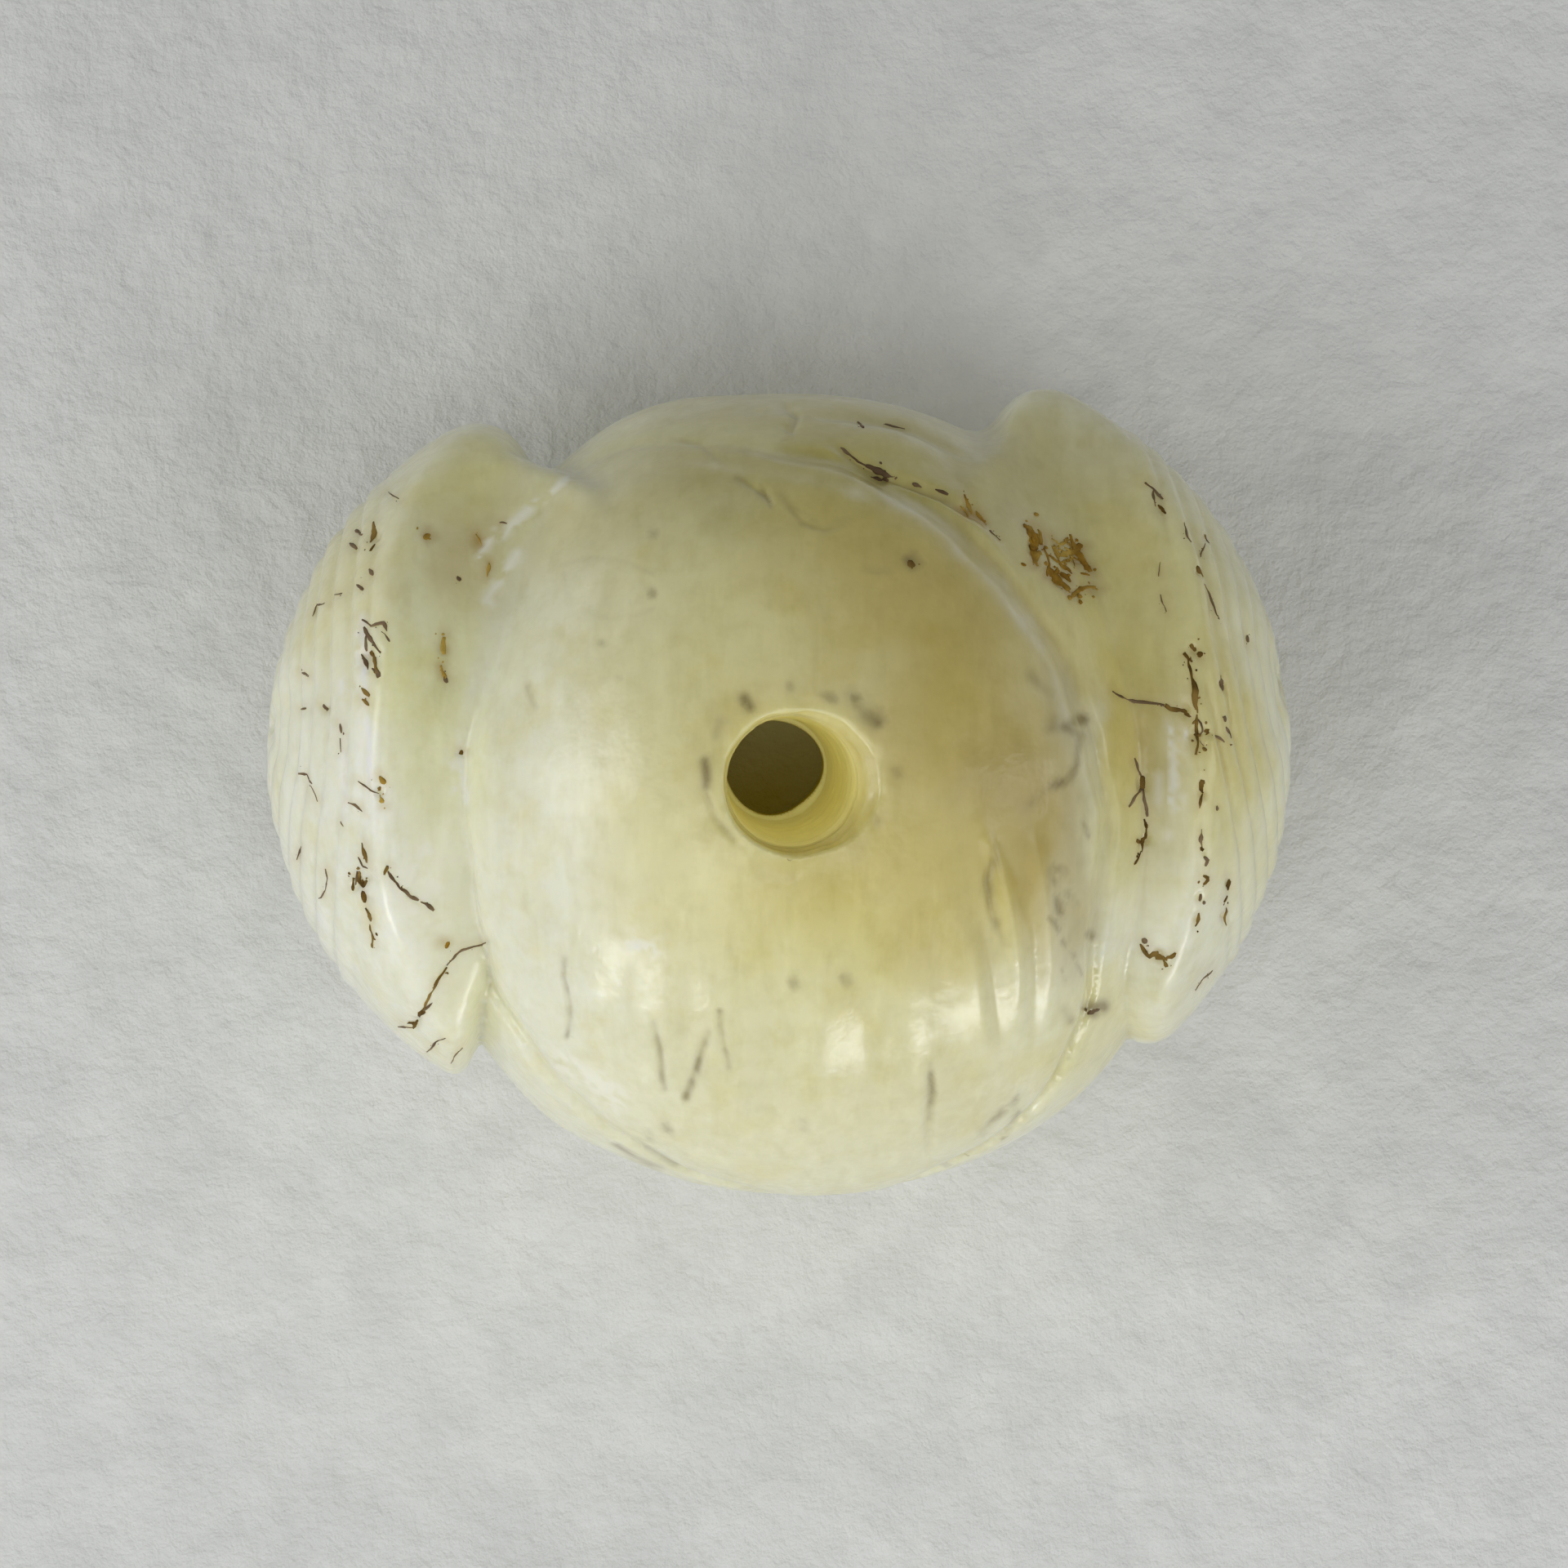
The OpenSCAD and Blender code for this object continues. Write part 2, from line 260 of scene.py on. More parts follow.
# Soft stains under the polish: strength, half width, points
STAINS = table("""
0.85 0.114 -0.68,1.27 -0.59,1.11
0.35 0.098 0.24,1.56 0.26,1.51
0.5 0.098 0.93,1.35 1.17,1.28
0.8 0.146 1.5,1.4 1.63,1.24
1 0.163 1.79,1.01 2.02,0.85
0.9 0.114 -1.46,0.03 -1.43,-0.46
0.35 0.098 2.39,-0.1 2.46,-0.2
0.3 0.098 1.95,-1.07 2.02,-1.17
0.35 0.13 -1.24,0.55 -1.11,0.81
0.35 0.06 -1.44,-0.62 -1.25,-1.1 -0.9,-1.5
1 0.15 5.46,0.78 5.76,0.75 6.05,0.81
0.95 0.1 5.79,0.72 6.02,0.47 5.95,-0.02 5.79,-0.36
0.9 0.1 5.79,-0.36 5.46,-0.47 5.2,-0.62 4.94,-0.85
0.65 0.09 4.94,-0.85 4.75,-0.94
0.45 0.098 5.04,1.76 5.5,1.33
0.75 0.11 5.54,-2.67 5.63,-2.89
0.75 0.08 5.5,-2.05 5.74,-2.13
0.75 0.08 6.05,-1.2 6.16,-1.46
0.85 0.1 6.15,-3.38 6.21,-3.46
0.6 0.098 5.69,-4.91 5.76,-5.14
0.18 0.358 5.66,1.69 5.95,0.55 6.02,-1.07 5.95,-3.02 5.85,-4.16
0.6 0.07 5.37,-2.15 5.59,-2.41
0.6 0.07 5.76,-2.54 5.95,-2.76
0.6 0.07 5.66,-3.51 5.85,-3.8
0.55 0.07 5.4,-3.02 5.59,-3.28
0.4 0.049 5.92,-4 6.02,-4.26
0.4 0.049 5.59,-3.97 5.69,-4.33
0.6 0.09 4.28,-1.72 4.18,-2.37 4.31,-3.02 4.46,-3.54
0.6 0.065 -2.44,-5.2 -2.34,-5.66 -2.26,-6.47
0.75 0.081 -1.35,-5.37 -1.58,-5.95 -1.85,-6.67
0.65 0.065 -1.12,-4.94 -1.07,-5.46 -0.99,-6.06
0.7 0.065 3.01,-5.98 3.06,-6.6 3.01,-7.15
0.75 0.081 4.05,-7.35 4.26,-7.12 4.46,-6.93
0.75 0.065 4.68,-6.83 4.78,-6.67
0.6 0.065 4.52,-7.45 4.81,-6.96
0.6 0.065 -4.23,-3.9 -4.26,-4.33 -4.15,-4.89 -4.21,-5.43
0.7 0.065 -3.22,-7.59 -2.86,-7.9 -2.37,-8.1
0.4 0.065 -2.67,-7.61 -2.02,-8
0.75 0.11 0.29,-4.34 0.33,-4.41
0.75 0.11 1.33,-4.29 1.38,-4.36
0.5 0.098 0.52,-7.15 0.52,-7.25
0.55 0.098 -2.2,-7.22 -2.16,-7.28
0.5 0.081 -2.59,-7.38 -2.55,-7.45
1 0.146 6.18,-4.99 6.47,-4.93
0.55 0.081 -2.5,3.4 -2.49,3.33
0.4 0.081 -3.46,2.39 -3.43,2.36
0.4 0.081 -2.47,4.52 -2.44,4.46
0.95 0.114 2.67,4.02 2.7,3.93
0.14 0.06 -4.26,3.97 -3.74,4.07 -3.09,3.97 -2.44,3.71
0.14 0.06 -4.1,3.12 -3.53,2.89 -2.96,2.88 -2.47,3.07
0.14 0.06 -4.26,3.8 -4.2,3.38 -4.07,3.12
0.26 0.06 -2.15,6.44 -1.5,6.33 -1.11,5.98
0.36 0.08 -0.76,5.63 -0.44,5.46 -0.16,5.24
0.45 0.049 -0.29,5.5 -0.1,5.07
0.28 0.09 0.13,5.27 0.54,4.78 0.94,4.65 1.46,4.78
0.3 0.049 0.39,5.04 0.81,4.75
0.35 0.065 1.76,3.8 2.24,3.71
0.3 0.065 -5.4,4.78 -4.91,4.98
0.35 0.065 -4.99,4.85 -4.68,4.98
0.35 0.065 -4.94,1.53 -4.85,1.04
0.25 0.065 -4.26,-1.56 -4.1,-1.92
0.25 0.065 -3.45,1.69 -3.12,1.72
""")
# Dark inclusions: strength, half width, place
SPOTS = table("""
0.95 0.15 2.67,3.98
0.75 0.13 -0.64,1.2
0.85 0.15 1.93,0.92
0.7 0.13 1.56,1.31
0.6 0.12 1.05,1.31
0.9 0.17 6.3,-4.97
0.55 0.1 -2.49,3.36
0.45 0.1 -2.45,4.49
""")
# Low ridges and, below zero, grooves: height, half width, points
RIDGES = table("""
-0.045 0.08 -1.5,-0.3 -1.44,-0.62 -1.25,-1.1 -0.9,-1.5 -0.55,-1.78
0.025 0.45 -3.37,-3.02 -3.74,-4.81 -4.1,-6.44
0.03 0.5 -2.23,-3.19 -2.47,-5.3 -2.47,-7.58
0.045 0.45 -0.85,-3.35 -1.01,-5.63 -1.09,-7.9
0.075 0.42 0.75,-3.02 0.78,-5.3 0.78,-8.06
0.075 0.42 2.16,-3.02 2.73,-4.81 2.86,-5.95 2.73,-7.9
0.08 0.28 3.22,-2.37 3.87,-4 4.2,-5.95
0.12 0.17 4.11,-1.24 4.39,-2.05 4.62,-3.02 4.78,-4.16 4.78,-5.3
0.08 0.16 5.04,-1.4 5.33,-2.7 5.46,-4 5.4,-5.3
-0.06 0.14 4.11,-3.02 4.28,-4.33 4.46,-5.79
-0.05 0.13 5.04,-3.02 5.14,-4.33 5.07,-5.63
-0.04 0.22 1.43,-3.51 1.72,-5.3 1.85,-7.58
-0.03 0.22 -0.11,-3.51 -0.2,-5.3 -0.11,-7.58
-0.025 0.22 -1.66,-3.51 -1.85,-5.3 -1.85,-7.41
-0.03 0.25 -2.96,-3.51 -3.32,-5.14 -3.37,-6.76
-0.09 0.09 3.01,-5.95 3.07,-6.63 3.02,-7.19 3.06,-7.97
-0.05 0.07 -1.35,-5.37 -1.58,-5.95 -1.85,-6.67
-0.04 0.06 -1.12,-4.94 -1.07,-5.46 -0.99,-6.06
-0.04 0.06 -2.44,-5.2 -2.34,-5.66 -2.26,-6.47
-0.06 0.07 -4.23,-3.9 -4.26,-4.33 -4.15,-4.89 -4.21,-5.43
-0.06 0.07 4.28,-1.72 4.18,-2.37 4.31,-3.02 4.46,-3.54
0.17 0.24 1.51,6.54 2.33,6.33 3.22,5.95
-0.15 0.1 1.07,6.33 1.51,6.03 2.08,5.72 2.73,5.53 3.28,5.33 4.13,4.75
-0.1 0.1 0.6,6.92 1.6,6.88 2.73,6.62 3.64,6.12
0.07 0.12 -0.2,7.16 0.9,7.22 2,7.08 2.95,6.78 3.8,6.28
0.06 0.14 3.54,5.11 4.28,4.29 4.85,3.32
-0.08 0.08 -0.03,6.99 0.16,7.09 0.39,6.93 0.29,6.63 0.07,6.73
-0.05 0.06 -0.76,5.63 -0.44,5.46 -0.16,5.24
-0.05 0.06 -0.29,5.5 -0.1,5.07
-0.03 0.07 -2.15,6.44 -1.5,6.33 -1.11,5.98
-0.03 0.07 0.13,5.27 0.54,4.78 0.94,4.65 1.46,4.78
-0.011 0.13 -4.68,3.32 -4.26,3.89 -3.53,4.07 -2.8,3.87 -2.42,3.32 \
-2.8,2.75 -3.53,2.44 -4.26,2.67 -4.68,3.32
-0.011 0.13 1.24,4.16 1.59,4.7 2.37,4.91 3.14,4.7 3.5,4.13 \
3.14,3.61 2.37,3.43 1.59,3.64 1.24,4.16
0.05 0.2 6.02,1.37 6.31,0.55 6.39,-0.42 6.31,-1.56
""")
# Edges worn paler: strength, half width, points
WEAR = table("""
0.36 0.09 -0.11,7.05 0.9,7.16 1.8,7.04 2.7,6.78 3.6,6.32 4,6.05
0.33 0.08 1.28,6.72 1.8,6.74 2.5,6.6 3.1,6.3 3.42,5.85
0.3 0.08 2.95,5.9 3.4,5.62 3.75,5.3
0.4 0.16 1.61,5.33 2.57,5.09 3.28,4.73 3.77,4.2 4.49,3.48 4.96,2.76
0.3 0.13 4.96,2.76 5.4,1.95 5.72,1.2
0.23 0.1 -1.2,5.9 -0.2,5.75 0.8,5.55 1.61,5.33
0.23 0.1 -2.9,5.9 -2.2,6 -1.2,5.9
""")
# Painted highlights: white glints painted into the colour along the polished crests and the dome's
# left edge: strength, half width, points
PAINTED_GLINTS = table("""
0.8 0.07 -8.2,2.9 -8.17,1.3 -8.08,-0.2 -7.98,-1.5
0.55 0.06 -8.62,1.6 -8.6,0.2 -8.52,-1.2
0.7 0.045 -6.36,0.6 -6.3,-0.1 -6.2,-0.75
0.85 0.065 7.88,0.78 7.9,-0.4 7.86,-1.5
0.65 0.045 8.16,0.65 8.19,-1.15
0.45 0.045 7.62,-0.2 7.6,-1.6
""")
# Places where the polish is worn away, and thin lines along the crests and the dome's left edge;
# all are painted near white, partly as painted highlights: half width, points
FROST_AND_GLINTS = table("""
0.13 -5.45,4.55 -4.9,5.05 -4.15,5.65
0.13 -5.75,3.2 -5.45,3.75 -5.15,4.15
0.1 -5.9,4.1 -5.6,4.6
0.3 -7.35,-2.45 -7.05,-1.75
0.1 -6.5,0.35 -6.38,-0.55
0.25 -2.9,-3.6 -2.5,-3.75
0.28 -4.3,-5.9 -3.2,-6.7
0.22 -7.15,-2.9 -6.85,-2.5
0.075 -8.33,2.57 -8.29,1 -8.16,-0.6 -8.05,-1.3
0.06 7.89,0.7 7.9,-0.4 7.86,-1.41
0.05 8.15,0.6 8.16,-1.07
0.07 -6.35,0.25 -6.25,-0.35
""")
# Pits: half width, depth, place
PITS = table("""
0.163 0.12 -8.08,2.1
0.146 0.1 -8.02,4.5
0.13 0.1 -8.39,-2.37
0.13 0.1 -8.21,-2.34
0.098 0.08 -8.16,-2.7
0.114 0.1 -7.24,-5.19
0.114 0.1 8.37,0.55
0.081 0.08 8.59,0.59
0.081 0.06 8.13,1.02
0.098 0.08 8.28,2.26
0.098 0.07 7.24,-0.42
0.081 0.07 7.32,-1.56
0.146 0.14 7.58,-3.87
0.098 0.08 8.42,3.8
0.081 0.06 8.54,4.49
0.098 0.08 8.49,-0.59
0.081 0.06 8.52,-1.76
0.081 0.06 8.42,-2.7
0.065 0.05 8.37,-3.15
0.081 0.06 8.99,-2.44
0.081 0.06 8.94,-3.09
0.081 0.07 8.85,1.56
0.081 0.06 8.99,0.62
0.098 0.07 7.66,5.04
0.146 0.09 5.11,4.33
0.146 0.09 5.63,3.67
0.13 0.06 5.92,4.07
0.114 0.07 3.8,5.11
0.13 0.07 2.05,5.72
0.098 0.07 -7.9,-0.52
0.098 0.06 -6.6,2.34
0.065 0.05 -6.28,0.21
0.081 0.05 -8.99,1.11
0.146 0.05 6.34,-4.96
0.13 0.05 5.76,0.75
""")
TONES = {
    "pearl": (0.87, 0.865, 0.64), "snow": (0.90, 0.905, 0.75), "cream": (0.77, 0.70, 0.25),
    "honey": (0.62, 0.49, 0.10), "olive": (0.56, 0.49, 0.13), "peach": (0.66, 0.49, 0.20),
    "lilac": (0.63, 0.57, 0.36), "umber": (0.50, 0.39, 0.10), "gold": (0.84, 0.73, 0.18),
    "ivory": (0.91, 0.88, 0.64), "lemon": (0.96, 0.97, 0.60), "milk": (0.96, 0.96, 0.78),
    "mustard": (0.80, 0.74, 0.22), "sand": (0.77, 0.74, 0.44), "straw": (0.78, 0.76, 0.50),
    "flax": (0.76, 0.74, 0.52),
}
# Colour zones, laid over each other: tone, strength, turn in degrees, middle, half sizes. The zone
# at -7,-3.2 is painted light: it lightens the shaded valley between the left wing's crest and the
# dome. The zone at 0.6,-7 is painted shade: it makes the bottom of the dome darker.
ZONES = table("""
snow 0.85 0 -8.6,-2 2.8,5.6
snow 0.6 0 -4,-3.8 3,3.4
snow 0.26 0 0.6,-6.6 6,2.4
snow 0.5 0 7.4,-3.4 1.6,2.4
cream 0.62 0 0.7,3.2 5.2,3.4
cream 0.85 0 1.9,-2.2 3.6,2.8
cream 0.55 0 -1.6,-0.6 2.8,3.6
cream 0.28 0 0.3,-4 4.6,4.2
cream 0.2 0 1.2,-6 4,2.6
olive 0.85 -12 1.6,5.8 5.2,2
olive 0.6 18 -2.2,5.4 3.2,1.8
honey 0.6 -20 2.2,3.5 2.8,1.8
honey 0.82 -8 3.9,1.2 2.4,3.6
honey 0.8 10 4.8,-1.4 1.2,2.6
umber 0.7 0 4.6,-0.7 1.1,1.9
olive 0.3 0 5.2,6.5 1.4,1
honey 0.55 15 1.9,-2.1 2.6,1.3
honey 0.45 0 3.3,-3.3 1.2,1.4
honey 0.25 0 0.3,0.2 2.2,2.2
gold 0.62 10 6.7,3.2 1.6,3.4
honey 0.82 0 7.1,0.4 1.2,2.2
cream 0.58 0 7,-1.3 1.3,2
ivory 0.45 0 7.1,-3.4 0.8,1.2
cream 0.24 0 9.2,-0.6 0.9,2.6
peach 0.55 0 7.5,0.8 0.6,1.1
cream 0.64 8 8.7,2 1.3,5
honey 0.32 0 9,0.9 0.9,2.2
olive 0.4 0 5.6,6.2 2,1.4
cream 0.26 0 -7,2.2 1.2,4.2
lemon 0.7 0 -6.9,1.3 1,3.6
milk 0.65 0 -7,-3.2 1,2.4
honey 0.48 -20 -5.9,3.9 0.9,1.6
mustard 0.55 20 -6,5.7 1.7,1.2
cream 0.48 0 -8.6,3.9 1.2,2.5
lilac 0.42 4 5.65,-2.2 0.6,2.6
lilac 0.4 0 5.5,1.1 0.4,1
honey 0.16 0 2.6,-6.6 1.6,1
pearl 0.45 0 6.3,-0.2 0.35,1.7
cream 0.6 0 7.3,1.4 0.9,1.6
cream 0.5 0 6.2,-5.6 1.4,1.6
cream 0.16 0 3.8,-5.6 1.6,1.6
sand 0.42 0 0.6,-7 4.8,2.6
straw 0.5 0 -6.5,-5.3 0.9,1
flax 0.55 0 7.8,-4.7 0.9,1
""")


# ---------------------------------------------------------------- helpers
def soft_min(first, second, blend):
    share = np.clip(0.5 + 0.5 * (second - first) / blend, 0, 1)
    return second + (first - second) * share - blend * share * (1 - share)


def soft_max(first, second, blend):
    return -soft_min(-first, -second, blend)


def ramp(start, end, value):
    """Smooth rise from 0 at start to 1 at end."""
    share = np.clip((value - start) / (end - start), 0, 1)
    return share * share * (3 - 2 * share)


def bell(ratio):
    return np.exp(-(ratio**2))


def unit(vectors):
    return vectors / np.maximum(np.linalg.norm(vectors, axis=1, keepdims=True), 1e-12)


def noise_maker(seed, cells=32):
    """Smooth noise from -1 to 1 that repeats every 32 cells."""
    grid = np.random.default_rng(seed).random((cells, cells, cells)) * 2 - 1

    def noise(points, size):
        place = points / size
        near = np.floor(place).astype(np.int64)
        part = place - near
        part = part * part * part * (part * (part * 6 - 15) + 10)
        near %= cells
        x0, y0, z0 = near.T
        x1, y1, z1 = ((near + 1) % cells).T
        x_part, y_part, z_part = part.T

        def row(y, z):
            return grid[x0, y, z] * (1 - x_part) + grid[x1, y, z] * x_part

        def layer(z):
            return row(y0, z) * (1 - y_part) + row(y1, z) * y_part

        return layer(z0) * (1 - z_part) + layer(z1) * z_part

    return noise


noise_a = noise_maker(11)
noise_b = noise_maker(23)
noise_c = noise_maker(37)


# ---------------------------------------------------------------- solid
def dome_table():
    """The dome's outline at every half degree, smoothed."""
    angles, distances = np.array(DOME).T
    fine = np.arange(-180.0, 180.0, 0.5)
    around_it = np.r_[angles - 360, angles, angles + 360]
    values = np.interp(fine, around_it, np.r_[distances, distances, distances])
    reach = 24
    weights = np.exp(-0.5 * (np.arange(-reach, reach + 1) / 7.0) ** 2)
    weights /= weights.sum()
    return fine, np.convolve(np.r_[values[-reach:], values, values[:reach]], weights, "valid")


DOME_ANGLES, DOME_DISTANCES = dome_table()


def dome_inside(points):
    """How far points lie inside the dome's outline along the surface, and their angle."""
    x, y = points[:, 0] - DOME_MIDDLE[0], points[:, 1] - DOME_MIDDLE[1]
    angle = np.degrees(np.arctan2(y, x))
    edge = np.interp(angle, DOME_ANGLES, DOME_DISTANCES, period=360)
    edge = edge + 0.05 * np.sin(np.radians(angle) * 9 + 1.0) + 0.03 * np.sin(np.radians(angle) * 23)
    slope = np.clip(points[:, 2] / 8.0, 0.32, 1)
    return (edge - np.hypot(x, y)) / slope, angle


def dome_share(angle):
    """1 where the dome's edge stands clear, less where it melts into the ball."""
    return 1 - 0.86 * ramp(84, 100, angle) * (1 - ramp(148, 166, angle))


def dome_height(points):
    inside, angle = dome_inside(points)
    share = dome_share(angle)
    above = ramp(0.2, 1.2, points[:, 2])
    flank = 0.5 + 0.5 * np.abs(np.cos(np.radians(angle)))
    moat = -0.17 * flank * bell((inside + 0.26) / 0.26)
    step = 0.17 * ramp(-0.09, 0.16, inside) + 0.07 * ramp(0.0, 0.8, inside) + moat
    return share * above * step + (1 - share) * 0.23 * ramp(0.0, 2.6, inside) * above


def wing_parts(points, side):
    """Distance from the wing's centre, share towards its top, angle from its axis."""
    lean = math.radians(WINGS[side].lean)
    axis = np.array([side * math.cos(lean), math.sin(lean), 0.0])
    up = np.array([-math.sin(lean) * side, math.cos(lean), 0.0])
    offset = points - np.array(WINGS[side].centre)
    along = offset @ axis
    distance = np.linalg.norm(offset, axis=1) + 1e-9
    across = np.sqrt(np.maximum(distance * distance - along * along, 1e-9))
    return distance, offset @ up / across, np.arctan2(across, along)


def wing_field(points, side):
    wing = WINGS[side]
    x, y, z = points.T
    distance, top, angle = wing_parts(points, side)
    radius = wing.radius + 0.13 * ramp(0.15, 0.6, np.abs(top))
    blend = wing.edge_blend + wing.top_blend * ramp(-0.6, 0.75, top)
    inner = distance * np.sin(np.clip(angle - math.radians(wing.lip), -1.5, 1.5))
    # the lip is free at the outline only; further in the wing runs under the dome
    plain = 3.7 - x * side
    fill = ramp(0.8, 2.2, np.abs(z)) * ramp(-1.5, 1.5, y)
    fill *= ramp(*wing.fill_end, y)
    inner += (plain - inner) * fill
    body = soft_max(distance - radius, inner, blend)
    fall = np.where(y > 0, 0.072, 0.045) * y**2
    lift = wing.hollow_lift + 0.26 * ramp(wing.lift_start, 3.0, y)
    hollow = TROUGH_RADIUS - np.hypot(x - side * TROUGH_X, np.abs(z) - TROUGH_Z - lift + fall)
    return soft_max(body, hollow, 0.36)


def channel(points):
    """Distance into the drilled channel's wall, negative inside the hole."""
    z = points[:, 2]
    rise = np.clip((z - CHANNEL_STEP) / 5.7, 0, 1.15)
    fall = np.clip((CHANNEL_STEP - z) / 9.2, 0, 1.1)
    x = points[:, 0] - (-0.15 + 0.17 * rise + 0.12 * fall)
    y = points[:, 1] - (-0.03 - 0.14 * rise + 0.02 * fall)
    angle = np.arctan2(y, x)
    near = 1.03 + 0.21 * rise
    # worn and chipped mouth, widest towards the larger wing
    worn = (
        0.05 + 0.46 * (0.5 + 0.5 * np.cos(angle - 0.22)) ** 3
        + 0.025 * np.sin(3 * angle + 1) + 0.015 * np.sin(7 * angle)
    )
    near = near + worn * np.clip((z - 7.45) / 0.75, 0, 1.2) ** 2.2
    # drill marks
    near = near + 0.012 * np.sin(z * 9.0) + 0.010 * np.sin(z * 23.0 + 2 * np.sin(angle))
    # narrower bore below the step, widening towards the floor
    lip = 0.945 + 0.018 * np.cos(2 * angle + 0.5) + 0.02 * np.cos(3 * angle - 0.9)
    chip = bell((angle + 0.62 + 0.25) / 0.55) * 0.05
    waist = lip - chip + 0.40 * ramp(0.0, 1.0, fall * 1.1)
    radius = waist + (near - waist) * ramp(2.26, 2.36, z)
    return np.hypot(x, y) - radius


def field(points):
    """Rough distance to the stone's surface, negative inside."""
    offset = points - BALL
    # the outline is fuller at its upper left, lower left and lower right
    angle = np.degrees(np.arctan2(offset[:, 1], offset[:, 0]))
    full = 0.27 * bell((angle - 113) / 12) + 0.10 * bell((angle + 128) / 8)
    full += 0.24 * bell((angle + 47) / 19)
    full *= bell(offset[:, 2] / 3.2)
    ball = np.linalg.norm(offset, axis=1) - BALL_RADIUS - full - dome_height(points)
    # towards +Y the wings run into the ball, lower down they stand clear of it
    blend = 0.10 + 0.55 * ramp(3.8, 5.8, points[:, 1])
    solid = soft_min(ball, wing_field(points, 1), blend)
    solid = soft_min(solid, wing_field(points, -1), blend)
    solid = soft_max(solid, SEAT - points[:, 2], 0.35)
    return soft_max(solid, -channel(points), 0.09)


def slope_of(points, gap=0.01):
    slope = np.empty_like(points)
    for i in range(3):
        shift = np.zeros(3)
        shift[i] = gap
        slope[:, i] = (field(points + shift) - field(points - shift)) / (2 * gap)
    return slope


def settle(points, rounds):
    """Moves points onto the surface."""
    for _ in range(rounds):
        value = field(points)
        slope = slope_of(points)
        move = -(value / np.maximum((slope * slope).sum(1), 0.25))[:, None] * slope
        size = np.linalg.norm(move, axis=1, keepdims=True)
        points = points + move * np.minimum(1, 0.15 / np.maximum(size, 1e-9))
    return points


# ---------------------------------------------------------------- meshing
def first_mesh(low, high, cell):
    """Surface nets: one point in each grid cell that the surface crosses."""
    nodes = [int(math.ceil((end - start) / cell)) + 1 for start, end in zip(low, high)]
    axes = [low[i] + cell * np.arange(nodes[i]) for i in range(3)]
    grid = np.stack(np.meshgrid(*axes, indexing="ij"), -1).reshape(-1, 3)
    values = np.concatenate([field(part) for part in np.array_split(grid, 12)]).reshape(nodes)
    solid = values < 0
    cells = [count - 1 for count in nodes]

    def at_corner(array, corner):
        return array[tuple(slice(i, i + count) for i, count in zip(corner, cells))]

    corners = list(itertools.product((0, 1), repeat=3))
    count = sum(at_corner(solid, corner).astype(np.int8) for corner in corners)
    live = (count > 0) & (count < 8)
    index = -np.ones(cells, np.int64)
    index[live] = np.arange(live.sum())
    # each point is the mean of the places where its cell's edges are crossed
    total = np.zeros((live.sum(), 3))
    hits = np.zeros(live.sum())
    for axis in range(3):
        for start in corners:
            if start[axis]:
                continue
            end = list(start)
            end[axis] = 1
            before = at_corner(values, start)[live]
            after = at_corner(values, end)[live]
            cut = (before < 0) != (after < 0)
            place = np.tile(np.array(start, float), (len(before), 1))
            place[:, axis] = np.where(cut, before / np.where(cut, before - after, 1), 0)
            total[cut] += place[cut]
            hits[cut] += 1
    points = (np.argwhere(live) + total / hits[:, None]) * cell + np.array(low)
    # each crossed grid edge joins the points of the four cells around it
    triangles = []
    for axis in range(3):
        second, third = [(1, 2), (2, 0), (0, 1)][axis]
        lower = [slice(1, count) for count in cells]
        upper = list(lower)
        lower[axis] = slice(0, cells[axis])
        upper[axis] = slice(1, cells[axis] + 1)
        below, above = solid[tuple(lower)], solid[tuple(upper)]
        crossed = np.argwhere(below != above)
        inside = below[below != above]
        ids = []
        for shift in ((0, 0), (1, 0), (1, 1), (0, 1)):
            around_edge = crossed.copy()
            around_edge[:, second] += shift[0]
            around_edge[:, third] += shift[1]
            ids.append(index[tuple(around_edge.T)])
        quads = np.stack(ids, 1)
        quads = np.where(inside[:, None], quads, quads[:, ::-1])
        triangles += [quads[:, [0, 1, 2]], quads[:, [0, 2, 3]]]
    return points, np.concatenate(triangles)


def line_distance(view, line, reach):
    """Indices of the points near a line, their distance and place along it."""
    low, high = line.min(0) - reach, line.max(0) + reach
    ids = np.nonzero(((view > low) & (view < high)).all(1))[0]
    spots = view[ids]
    best = np.full(len(ids), 1e9)
    place = np.zeros(len(ids))
    lengths = np.linalg.norm(np.diff(line, axis=0), axis=1)
    starts = np.r_[0, np.cumsum(lengths)]
    for i in range(len(line) - 1):
        start, leg = line[i], line[i + 1] - line[i]
        share = np.clip(((spots - start) @ leg) / max(leg @ leg, 1e-9), 0, 1)
        away = np.linalg.norm(spots - start - share[:, None] * leg, axis=1)
        nearer = away < best
        best[nearer] = away[nearer]
        place[nearer] = (starts[i] + share[nearer] * lengths[i]) / max(starts[-1], 1e-9)
    keep = best < reach
    return ids[keep], best[keep], place[keep]


def in_view(points):
    """Where the camera sees the points on the plane z = 0."""
    scale = EYE[2] / (EYE[2] - points[:, 2])
    return EYE[:2] + (points[:, :2] - EYE[:2]) * scale[:, None]


